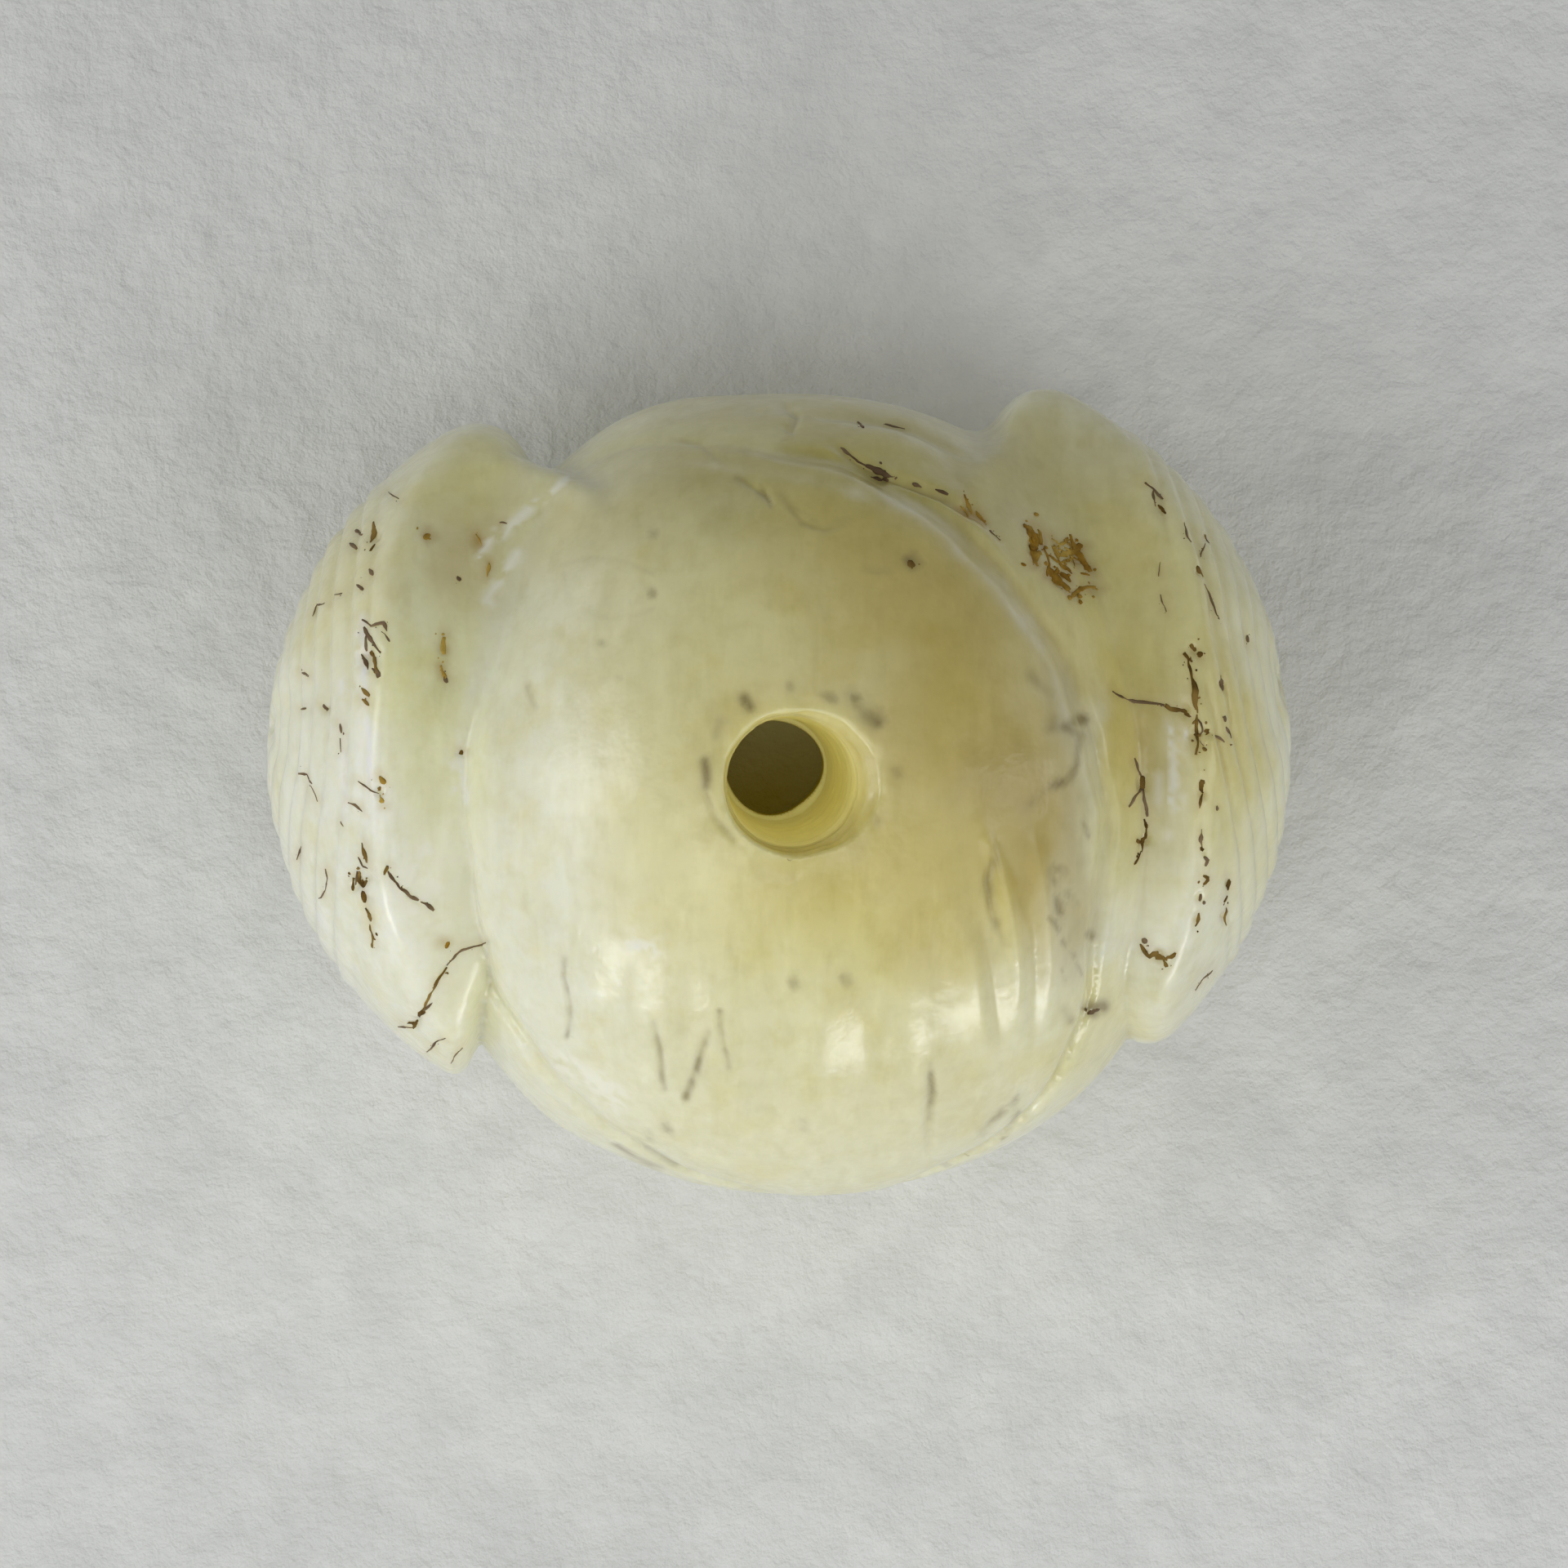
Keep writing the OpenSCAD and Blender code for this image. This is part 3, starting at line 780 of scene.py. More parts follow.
def wanted_length(points, normals):
    """Edge length that the detail at each place asks for."""
    x, y, z = points.T
    facing = normals @ AWAY
    length = np.full(len(points), 0.17)
    length = np.where(facing < 0.05, 0.24, length)
    length = np.where(facing < -0.2, 0.34, length)
    # the lower part of the dome, then its edge
    inside, angle = dome_inside(points)
    front = (facing > 0.0) & (z > -1)
    length = np.where(front & (y < -2.5) & (inside > 0), np.minimum(length, 0.13), length)
    length = np.where(front & (np.abs(inside) < 0.30) & (dome_share(angle) > 0.3), 0.085, length)
    # the ribs and lip of each wing
    for side, wing in WINGS.items():
        distance, _, beta = wing_parts(points, side)
        outer = x * side > 4
        ribs = (np.abs(distance - wing.radius) < 0.3) & outer & (beta < math.radians(50))
        length = np.where(ribs & (z > -2.5), 0.105, length)
        length = np.where(ribs & (z <= -2.5), 0.20, length)
        lip = outer & (np.abs(beta - math.radians(wing.lip)) < 0.16)
        lip &= distance > wing.radius - 1.2
        length = np.where(lip & (z > -3), np.minimum(length, 0.12), length)
    # the channel's mouth, wall and step
    hole = np.hypot(x + 0.08, y + 0.25)
    length = np.where((hole < 2.1) & (z > 7.2), 0.075, length)
    length = np.where((hole < 1.6) & (z <= 7.4) & (z > 1.8), 0.13, length)
    length = np.where((hole < 1.3) & (np.abs(z - CHANNEL_STEP) < 0.22), 0.06, length)
    view = in_view(points)
    for _, width, line in RIDGES:
        ids = line_distance(view, line, width * 1.8)[0]
        ids = ids[facing[ids] > 0.1]
        length[ids] = np.minimum(length[ids], max(0.065, width * 0.62))
    for width, _, place in PITS:
        ids = np.nonzero(((view - place) ** 2).sum(1) < (width * 2.2) ** 2)[0]
        length[ids] = np.minimum(length[ids], 0.065)
    return length


def refine(points, triangles, rounds):
    """Splits the edges that are longer than wanted."""
    for _ in range(rounds):
        edges = np.sort(triangles[:, [0, 1, 1, 2, 2, 0]].reshape(-1, 2), axis=1)
        keys = edges[:, 0] * np.int64(len(points)) + edges[:, 1]
        _, first, back = np.unique(keys, return_index=True, return_inverse=True)
        edges = edges[first]
        ends = points[edges[:, 0]], points[edges[:, 1]]
        middle = (ends[0] + ends[1]) / 2
        length = np.linalg.norm(ends[0] - ends[1], axis=1)
        split = length > 1.38 * wanted_length(middle, unit(slope_of(middle)))
        if not split.any():
            break
        number = -np.ones(len(edges), np.int64)
        number[split] = len(points) + np.arange(split.sum())
        points = np.concatenate([points, settle(middle[split], 2)])
        mids = number[back.reshape(-1, 3)]
        cut = (mids >= 0).sum(1)
        parts = [triangles[cut == 0]]

        def add(*pieces):
            parts.extend(np.stack(piece, 1) for piece in pieces)

        # all three edges split
        one, two, three = triangles[cut == 3].T
        mid12, mid23, mid31 = mids[cut == 3].T
        add((one, mid12, mid31), (mid12, two, mid23), (mid31, mid23, three), (mid12, mid23, mid31))
        for turn in range(3):
            turned = np.roll(triangles, -turn, axis=1)
            turned_mids = np.roll(mids, -turn, axis=1)
            # one edge split
            pick = (cut == 1) & (turned_mids[:, 0] >= 0)
            one, two, three = turned[pick].T
            mid12 = turned_mids[pick, 0]
            add((one, mid12, three), (mid12, two, three))
            # two edges split: the rest is cut along its shorter diagonal
            pick = (cut == 2) & (turned_mids[:, 2] < 0)
            one, two, three = turned[pick].T
            mid12, mid23 = turned_mids[pick, 0], turned_mids[pick, 1]
            diagonal = np.linalg.norm(points[one] - points[mid23], axis=1)
            short = diagonal < np.linalg.norm(points[mid12] - points[three], axis=1)
            add(
                (mid12, two, mid23),
                (one, mid12, np.where(short, mid23, three)),
                (np.where(short, one, mid12), mid23, three),
            )
        triangles = np.concatenate(parts)
    return points, triangles


def relax(points, triangles, rounds):
    """Evens out the points along the surface."""
    for _ in range(rounds):
        total = np.zeros_like(points)
        count = np.zeros(len(points))
        for here, there in ((0, 1), (1, 0), (1, 2), (2, 1), (2, 0), (0, 2)):
            target, source = triangles[:, here], triangles[:, there]
            for i in range(3):
                total[:, i] += np.bincount(target, points[source, i], len(points))
            count += np.bincount(target, minlength=len(points))
        move = total / count[:, None] - points
        normals = unit(slope_of(points))
        move -= (move * normals).sum(1, keepdims=True) * normals
        points = settle(points + 0.5 * move, 1)
    return points


# ---------------------------------------------------------------- carving
def frost_and_glint_patches(points, view):
    """Rough, unpolished places and thin crest lines, in broken patches, which the colour paints
    near white, partly as painted highlights.
    """
    frost_and_glint = np.zeros(len(points))
    for width, line in FROST_AND_GLINTS:
        ids, away, _ = line_distance(view, line, width * 2.2)
        frost_and_glint[ids] = np.maximum(frost_and_glint[ids], bell(away / width))
    rough = noise_c(points + 11, 0.15) + 0.6 * noise_b(points + 17, 0.4)
    return frost_and_glint * ramp(-0.15, 0.25, rough + 0.9 * (frost_and_glint - 0.55))


def rib_relief(points):
    """Soft stepped ribs on the outside of each wing."""
    total = np.zeros(len(points))
    for side, wing in WINGS.items():
        distance, _, angle = wing_parts(points, side)
        share = ramp(0.35, 0.12, np.abs(distance - wing.radius)) * (points[:, 0] * side > 4)
        angle = np.degrees(angle)
        angle = angle + 0.80 * noise_a(points, 3.2) + 0.30 * noise_b(points, 1.1)
        relief = np.zeros(len(points))
        for i, groove in enumerate(wing.grooves):
            inner = wing.grooves[i + 1] if i + 1 < len(wing.grooves) else groove - 5
            width = wing.groove_width if i else 0.45
            uneven = np.clip(1 + 0.95 * noise_c(points + i * 7.0, 2.4), 0.1, 2)
            depth = wing.groove_depth * uneven
            if i == 0:
                depth = depth * 0.8
            relief -= depth * bell((angle - groove) / width)
            # each rib bulges and rises away from its groove
            across = np.clip((groove - angle) / (groove - inner), 0, 1)
            rib = (angle <= groove) & (angle > inner)
            relief += 0.034 * np.sin(np.pi * across) * rib
            relief += 0.040 * (across - 0.5) * rib * ramp(0, 0.12, across) * ramp(1, 0.88, across)
        total += relief * share
    return total


def carve(points, normals):
    """How far each point moves out for ribs, ridges, grooves, pits and unevenness."""
    lit = ramp(0.06, 0.30, normals @ AWAY)
    view = in_view(points)
    depth = rib_relief(points)
    for height, width, line in RIDGES:
        ids, away, place = line_distance(view, line, width * 2.6)
        fade = np.clip(np.sin(np.pi * np.clip(place, 0.02, 0.98)), 0, 1) ** 0.6
        depth[ids] += height * bell(away / width) * fade * lit[ids]
    rough = noise_b(points, 0.16)
    for width, pit_depth, place in PITS:
        square = ((view - place) ** 2).sum(1) / width**2
        ids = np.nonzero(square < 6)[0]
        depth[ids] -= pit_depth * np.exp(-square[ids]) * (0.8 + 0.5 * rough[ids]) * lit[ids]
    for _, _, line in CRACKS:
        ids, away, _ = line_distance(view, line, 0.22)
        depth[ids] -= 0.016 * bell(away / 0.075) * lit[ids]
    hole = np.hypot(points[:, 0] + 0.05, points[:, 1] + 0.25)
    quiet = 1 - 0.7 * (hole < 1.25)
    depth += quiet * (0.032 * noise_a(points + 50, 2.4) + 0.016 * noise_b(points + 9, 0.9))
    depth += 0.010 * frost_and_glint_patches(points, view) * noise_c(points, 0.11) * lit
    # chips on the worn mouth
    mouth = ramp(2.0, 1.55, hole) * ramp(7.4, 7.8, points[:, 2])
    depth -= mouth * 0.05 * np.clip(noise_c(points + 3, 0.42) + 0.2, 0, 1)
    return depth


# ---------------------------------------------------------------- painting
# How much rust each kind of crack sheds around it
CRACK_RUST = {"d": 0.26, "b": 0.24, "r": 0.85}


def tint(colour, share, tone, ids=slice(None)):
    """Moves the colours towards a tone, in place."""
    colour[ids] += share[:, None] * (np.array(tone) - colour[ids])


def near_strokes(view, facing, rows, reach=None):
    """Yields, for each stroke, the points in sight near it and their share of it."""
    for strength, width, line in rows:
        ids, away, _ = line_distance(view, line, reach or width * 2.4)
        visible = facing[ids] > 0.05
        yield ids[visible], strength * bell(away[visible] / width)


def paint_base(points, view, drift):
    colour = np.tile(np.array(TONES["pearl"]), (len(points), 1))
    for tone, strength, turn, (middle, half) in ZONES:
        angle = math.radians(turn)
        x, y = (view + drift - middle).T
        across = (x * math.cos(angle) + y * math.sin(angle)) / half[0]
        along = (-x * math.sin(angle) + y * math.cos(angle)) / half[1]
        reach = np.sqrt(across * across + along * along)
        tint(colour, strength * ramp(1.35, 0.15, reach), TONES[tone])
    return colour


def paint_channel(points, colour):
    """Tints the channel, with painted light and shade in it: a paler lower wall, a painted
    highlight on the step's rim and painted shade in the bore below the step; returns the shares of
    its wall and of the bore below the step.
    """
    x, y, z = points.T
    hole = np.hypot(x + 0.10, y + 0.22)
    above_floor = z > SEAT + 0.3
    wall = (hole < 1.55) * ramp(7.75, 7.2, z) * above_floor
    tint(colour, 0.9 * wall, tone=(0.80, 0.74, 0.32))
    # painted light: the lower part of the wall, which lies in shade, is painted paler
    tint(colour, 0.6 * (wall * ramp(-0.5, -1.3, y)), tone=(0.92, 0.88, 0.56))
    # painted highlight along the rim of the step
    ledge_highlight = (hole < 1.3) * ramp(2.22, 2.30, z) * ramp(2.52, 2.40, z)
    tint(colour, 0.8 * ledge_highlight, tone=(0.96, 0.94, 0.72))
    # painted shade: the bore below the step is painted nearly black
    deep = (hole < 1.5) * ramp(2.31, 2.22, z) * above_floor
    tint(colour, 0.97 * deep, tone=(0.10, 0.07, 0.003))
    mouth = ramp(2.2, 1.6, hole) * ramp(7.45, 7.75, z)
    mouth *= 0.45 + 0.55 * ramp(-0.9, 1.3, x)
    tint(colour, 0.5 * mouth, tone=(0.66, 0.59, 0.25))
    return wall, deep


def paint(points, normals):
    """The mesh attributes: colour (with painted light and shade in places), dirt, frost for
    roughness and painted glints, and parts of the channel.
    """
    view = in_view(points)
    facing = normals @ AWAY
    drift = np.stack([noise_a(points + 20, 1.7), noise_b(points + 40, 1.7)], 1) * 0.55
    drift += np.stack([noise_b(points + 60, 0.6), noise_c(points + 80, 0.6)], 1) * 0.16
    colour = paint_base(points, view, drift)
    wall, deep = paint_channel(points, colour)
    # pale worn edge of the dome
    inside, angle = dome_inside(points)
    rim = bell((inside - 0.10) / 0.17) * (facing > 0)
    rim *= 0.6 * ramp(8, 26, angle) * ramp(88, 74, angle) + 0.4 * (np.abs(angle) > 150)
    rim *= 0.6 + 0.6 * noise_b(points + 13, 0.5)
    tint(colour, np.clip(rim, 0, 1), tone=(0.84, 0.82, 0.66))
    for ids, share in near_strokes(view + drift * 0.10, facing, WEAR):
        share = share * np.clip(0.75 + 0.7 * noise_b(points[ids] + 33, 0.45), 0.2, 1.2)
        tint(colour, share, (0.82, 0.79, 0.58), ids)
    # painted highlights: the glints are painted in as near-white colour
    for ids, share in near_strokes(view + drift * 0.05, facing, PAINTED_GLINTS):
        share = share * np.clip(0.8 + 1.1 * noise_b(points[ids] + 51, 0.55), 0.1, 1.0)
        tint(colour, share, (1.0, 1.0, 0.94), ids)
    # the band beside the left flank of the dome is greener
    x, y = points[:, 0], points[:, 1]
    band = ramp(-0.03, -0.22, inside) * ramp(-2.4, -0.8, inside) * (x < 0) * (facing > 0)
    band *= ramp(-6.4, -4.4, y) * (0.22 + 0.2 * ramp(-2.0, 1.5, y))
    tint(colour, band, tone=(0.80, 0.78, 0.42))
    stain = np.zeros(len(points))
    for ids, share in near_strokes(view + drift * 0.12, facing, STAINS):
        stain[ids] = np.maximum(stain[ids], share)
    patchy = 0.74 + 0.55 * noise_c(points, 0.24) + 0.45 * noise_b(points, 0.7)
    stain *= 1.05 * np.clip(patchy, 0.30, 1.1)
    for strength, width, place in SPOTS:
        away = np.hypot(*(view + drift * 0.05 - place).T) / width
        stain = np.maximum(stain, strength * np.exp(-(away**4)) * (facing > 0.05))
    rust = np.zeros(len(points))
    halos = [(CRACK_RUST[kind], 0.14, line) for kind, _, line in CRACKS]
    for ids, share in near_strokes(view + drift * 0.1, facing, halos, reach=0.4):
        rust[ids] = np.maximum(rust[ids], share)
    rust *= 0.7 + 0.6 * np.clip(noise_b(points + 5, 0.3), -1, 1)
    return {
        "paint": colour,
        "stain": np.clip(stain, 0, 1),
        "rust": np.clip(rust, 0, 1),
        "frost_and_glint": np.clip(frost_and_glint_patches(points, view), 0, 1),
        "wall": wall * (1 - deep),
        "deep": deep,
    }


# ---------------------------------------------------------------- stone
def make_mesh(name, points, triangles, smooth=True):
    mesh = bpy.data.meshes.new(name)
    mesh.vertices.add(len(points))
    mesh.vertices.foreach_set("co", (points * MM + ORIGIN).astype(np.float32).ravel())
    mesh.loops.add(len(triangles) * 3)
    mesh.loops.foreach_set("vertex_index", triangles.astype(np.int32).ravel())
    mesh.polygons.add(len(triangles))
    starts = np.arange(0, len(triangles) * 3, 3, dtype=np.int32)
    mesh.polygons.foreach_set("loop_start", starts)
    mesh.update(calc_edges=True)
    mesh.validate()
    if smooth:
        mesh.polygons.foreach_set("use_smooth", np.ones(len(mesh.polygons), bool))
    thing = bpy.data.objects.new(name, mesh)
    bpy.context.scene.collection.objects.link(thing)
    return thing


def put_attribute(mesh, name, values):
    if values.ndim == 1:
        attribute = mesh.attributes.new(name, "FLOAT", "POINT")
        attribute.data.foreach_set("value", values.astype(np.float32))
    else:
        attribute = mesh.attributes.new(name, "FLOAT_COLOR", "POINT")
        rgba = np.ones((len(values), 4), np.float32)
        rgba[:, :3] = values
        attribute.data.foreach_set("color", rgba.ravel())


def build_stone():
    """The stone, and a tree of its surface to cast rays at."""
    points, triangles = first_mesh(
        low=(-10.5, -9.2, -7.5), high=(10.7, 8.1, 8.7), cell=0.22
    )
    points = settle(points, rounds=5)
    points = relax(points, triangles, rounds=2)
    points, triangles = refine(points, triangles, rounds=4)
    points = relax(points, triangles, rounds=3)
    normals = unit(slope_of(points))
    carved = points + normals * carve(points, normals)[:, None]
    thing = make_mesh("carved_stone_body", carved, triangles)
    for name, values in paint(points, normals).items():
        put_attribute(thing.data, name, values)
    tree = BVHTree.FromPolygons([Vector(point) for point in carved], triangles.tolist())
    return thing, tree


stone, stone_tree = build_stone()

# ---------------------------------------------------------------- cracks
rng = np.random.default_rng(5)


def surface_at(x, y):
    """Point and normal of the surface that the camera sees at x, y, if any."""
    ray = Vector((x, y, 0.0)) - Vector(EYE)
    ray.normalize()
    hit, normal, _, _ = stone_tree.ray_cast(Vector(EYE), ray)
    if hit is None:
        return None
    if normal.dot(ray) > 0:
        normal = -normal
    return np.array(hit), np.array(normal)


class Residue:
    """Collects small closed solids for one mesh."""

    RIBBON_SIDES = 6
    LIFT, CROWN, SINK = 0.006, 0.006, 0.035  # ribbon's middle, height above it, depth below
    BLOB_SIDES = 7
    BLOB_TOP, BLOB_BOTTOM = 0.012, 0.035
    BLOB_RINGS = ((0.55, 0.010), (1.0, 0.001), (0.7, -0.03))  # (share of radius, height)

    def __init__(self):
        self.points, self.triangles, self.count = [], [], 0

    def add(self, points, triangles):
        self.points.append(np.array(points))
        self.triangles.append(np.array(triangles) + self.count)
        self.count += len(points)

    def ribbon(self, line, normals, widths):
        """A flattened tube along a line, closed at both ends."""
        along = unit(np.gradient(line, axis=0))
        side = unit(np.cross(normals, along))
        up = unit(np.cross(along, side))
        sides = self.RIBBON_SIDES
        points = []
        for i in range(len(line)):
            for k in range(sides):
                angle = 2 * math.pi * k / sides
                height = math.sin(angle)
                rise = self.LIFT + (self.CROWN if height > 0 else self.SINK) * height
                across = side[i] * widths[i] * 0.5 * math.cos(angle)
                points.append(line[i] + across + up[i] * rise)
        triangles = []
        for i in range(len(line) - 1):
            for k in range(sides):
                here, beside = i * sides + k, i * sides + (k + 1) % sides
                triangles.append((here, beside, beside + sides))
                triangles.append((here, beside + sides, here + sides))
        for base, at_start in ((0, False), ((len(line) - 1) * sides, True)):
            points.append(np.mean(points[base:base + sides], 0))
            middle = len(points) - 1
            for k in range(sides):
                here, beside = base + k, base + (k + 1) % sides
                pair = (here, beside) if at_start else (beside, here)
                triangles.append((middle, *pair))
        self.add(points, triangles)

    def blob(self, at, normal, size):
        """A small flattened lump."""
        side = unit(np.cross(normal[None], rng.normal(size=(1, 3))))[0]
        other = np.cross(normal, side)
        length = size * rng.uniform(0.7, 1.3) / 2
        width = size * rng.uniform(0.6, 1.0) / 2
        sides = self.BLOB_SIDES
        points = [at + normal * self.BLOB_TOP]
        for share, height in self.BLOB_RINGS:
            for k in range(sides):
                angle = 2 * math.pi * k / sides
                uneven = rng.uniform(0.82, 1.15)
                points.append(
                    at
                    + side * length * share * uneven * math.cos(angle)
                    + other * width * share * uneven * math.sin(angle)
                    + normal * height
                )
        points.append(at - normal * self.BLOB_BOTTOM)
        last_ring, bottom = 1 + 2 * sides, 1 + 3 * sides
        triangles = []
        for k in range(sides):
            beside = (k + 1) % sides
            triangles.append((0, 1 + k, 1 + beside))
            for ring in (0, 1):
                start, end = 1 + ring * sides + k, 1 + ring * sides + beside
                triangles.append((start, start + sides, end + sides))
                triangles.append((start, end + sides, end))
            triangles.append((bottom, last_ring + beside, last_ring + k))
        self.add(points, triangles)


def wander(line, spacing=0.045, shake=0.030, size=0.16):
    """Closely spaced x and y along a line, shaken by noise."""
    starts = np.r_[0, np.cumsum(np.linalg.norm(np.diff(line, axis=0), axis=1))]
    count = max(5, int(starts[-1] / spacing))
    stations = np.linspace(0, starts[-1], count)
    x = np.interp(stations, starts, line[:, 0])
    y = np.interp(stations, starts, line[:, 1])
    seed = np.stack([x, y, np.full(count, len(line) * 1.7)], 1)
    return x + shake * noise_a(seed + 3, size), y + shake * noise_b(seed + 5, size)


def fill_cracks(wanted, specks):
    """Ribbons and lumps of residue for one kind of crack."""
    residue = Residue()
    for kind, width, path in CRACKS:
        if kind != wanted:
            continue
        hits = [surface_at(x, y) for x, y in zip(*wander(path))]
        hits = [hit for hit in hits if hit]
        if len(hits) < 3:
            continue
        line, normals = (np.array(part) for part in zip(*hits))
        # a jump in depth means that the ray slipped past an edge
        jump = np.linalg.norm(np.diff(line, axis=0), axis=1) > 0.35
        for run in np.split(np.arange(len(line)), np.nonzero(jump)[0] + 1):
            if len(run) < 3:
                continue
            share = np.clip(np.linspace(0, 1, len(run)), 0.03, 0.97)
            widths = width * (0.98 + 0.80 * noise_c(line[run] + 31, 0.14))
            widths = np.clip(widths, width * 0.32, width * 1.7)
            widths = widths * (0.25 + 0.75 * np.sin(np.pi * share) ** 0.5)
            residue.ribbon(line[run], normals[run], widths)
        for point, normal in zip(line, normals):
            if rng.random() < specks * (0.25 + width * 4):
                offset = rng.normal(size=3) * (width * 0.7 + 0.02)
                at = point + offset - normal * (offset @ normal)
                residue.blob(at, normal, width * rng.uniform(0.25, 0.8))
    return np.concatenate(residue.points), np.concatenate(residue.triangles)


# ---------------------------------------------------------------- materials
class Shader:
    """A material with one Principled surface, and short ways to add nodes."""

    def __init__(self, name):
        self.material = bpy.data.materials.new(name)
        self.material.use_nodes = True
        self.tree = self.material.node_tree
        self.tree.nodes.clear()
        output = self.node("ShaderNodeOutputMaterial")
        self.surface = self.node("ShaderNodeBsdfPrincipled")
        self.link(self.surface.outputs[0], output.inputs[0])
        self.coord = self.node("ShaderNodeTexCoord").outputs["Object"]

    def node(self, kind):
        return self.tree.nodes.new(kind)

    def link(self, source, target):
        """Feeds an input from a number, a colour, a vector or another node."""
        if isinstance(source, (int, float)):
            target.default_value = source
        elif isinstance(source, tuple):
            target.default_value = (*source, 1)[:len(target.default_value)]
        else:
            self.tree.links.new(source, target)

    def set(self, inputs):
        for name, value in inputs.items():
            self.link(value, self.surface.inputs[name])

    def noise(self, size, detail=3.0, rough=0.55, shift=0.0, squash=(1, 1, 1)):
        mapping = self.node("ShaderNodeMapping")
        mapping.inputs["Scale"].default_value = squash
        mapping.inputs["Location"].default_value = (shift, shift * 0.7, shift * 0.3)
        self.link(self.coord, mapping.inputs[0])
        texture = self.node("ShaderNodeTexNoise")
        texture.inputs["Scale"].default_value = 1 / (size * MM)
        texture.inputs["Detail"].default_value = detail
        texture.inputs["Roughness"].default_value = rough
        self.link(mapping.outputs[0], texture.inputs["Vector"])
        return texture.outputs[0]

    def attribute(self, name, output="Fac"):
        node = self.node("ShaderNodeAttribute")
        node.attribute_name = name
        return node.outputs[output]

    def remap(self, value, low, high, to_low=0, to_high=1):
        node = self.node("ShaderNodeMapRange")
        node.clamp = True
        for i, source in enumerate((value, low, high, to_low, to_high)):
            self.link(source, node.inputs[i])
        return node.outputs[0]

    def math(self, operation, first, second):
        node = self.node("ShaderNodeMath")
        node.operation = operation
        self.link(first, node.inputs[0])
        self.link(second, node.inputs[1])
        return node.outputs[0]

    def times(self, first, second):
        return self.math("MULTIPLY", first, second)

    def mix(self, share, first, second, mode="MIX"):
        node = self.node("ShaderNodeMix")
        node.data_type = "RGBA"
        node.blend_type = mode
        for i, source in ((0, share), (6, first), (7, second)):
            self.link(source, node.inputs[i])
        return node.outputs[2]

    def bump(self, height, distance, strength, normal=None):
        node = self.node("ShaderNodeBump")
        node.inputs["Strength"].default_value = strength
        node.inputs["Distance"].default_value = distance * MM
        self.link(height, node.inputs["Height"])
        if normal is not None:
            self.link(normal, node.inputs["Normal"])
        return node.outputs[0]


# Cloudy depth: size, detail, roughness, shift, range of the noise, tint
CLOUDS = (
    (2.2, 4, 0.6, 0.0, (0.35, 0.68), (1.06, 1.07, 1.13)),
    (1.3, 4, 0.6, 0.02, (0.52, 0.74), (0.95, 0.91, 0.72)),
    (0.42, 3, 0.6, 0.05, (0.45, 0.80), (0.90, 0.89, 0.80)),
)
# Faint streaks along y: size, shift, squash along y, range of the noise, tint
STREAKS = (
    (0.34, 0.11, 0.22, (0.50, 0.78), (0.90, 0.89, 0.80)),
    (0.40, 0.17, 0.26, (0.52, 0.80), (1.10, 1.11, 1.16)),
)


def stone_colour(shader, stain, frost_and_glint):
    colour = shader.attribute("paint", "Color")
    for size, detail, rough, shift, span, tone in CLOUDS:
        cloud = shader.remap(shader.noise(size, detail, rough, shift), *span)
        colour = shader.mix(shader.times(cloud, 0.8), colour, tone, "MULTIPLY")
    for size, shift, squash, span, tone in STREAKS:
        noise = shader.noise(size, shift=shift, squash=(1.0, squash, 0.5))
        colour = shader.mix(shader.remap(noise, *span, to_high=0.75), colour, tone, "MULTIPLY")
    colour = shader.mix(shader.attribute("rust"), colour, (0.57, 0.42, 0.14))
    colour = shader.mix(shader.times(stain, 0.82), colour, (0.25, 0.185, 0.060))
    # frosted patches and crest lines painted near white: worn polish, and in part painted
    # highlights
    return shader.mix(shader.times(frost_and_glint, 0.85), colour, (0.97, 0.96, 0.80))


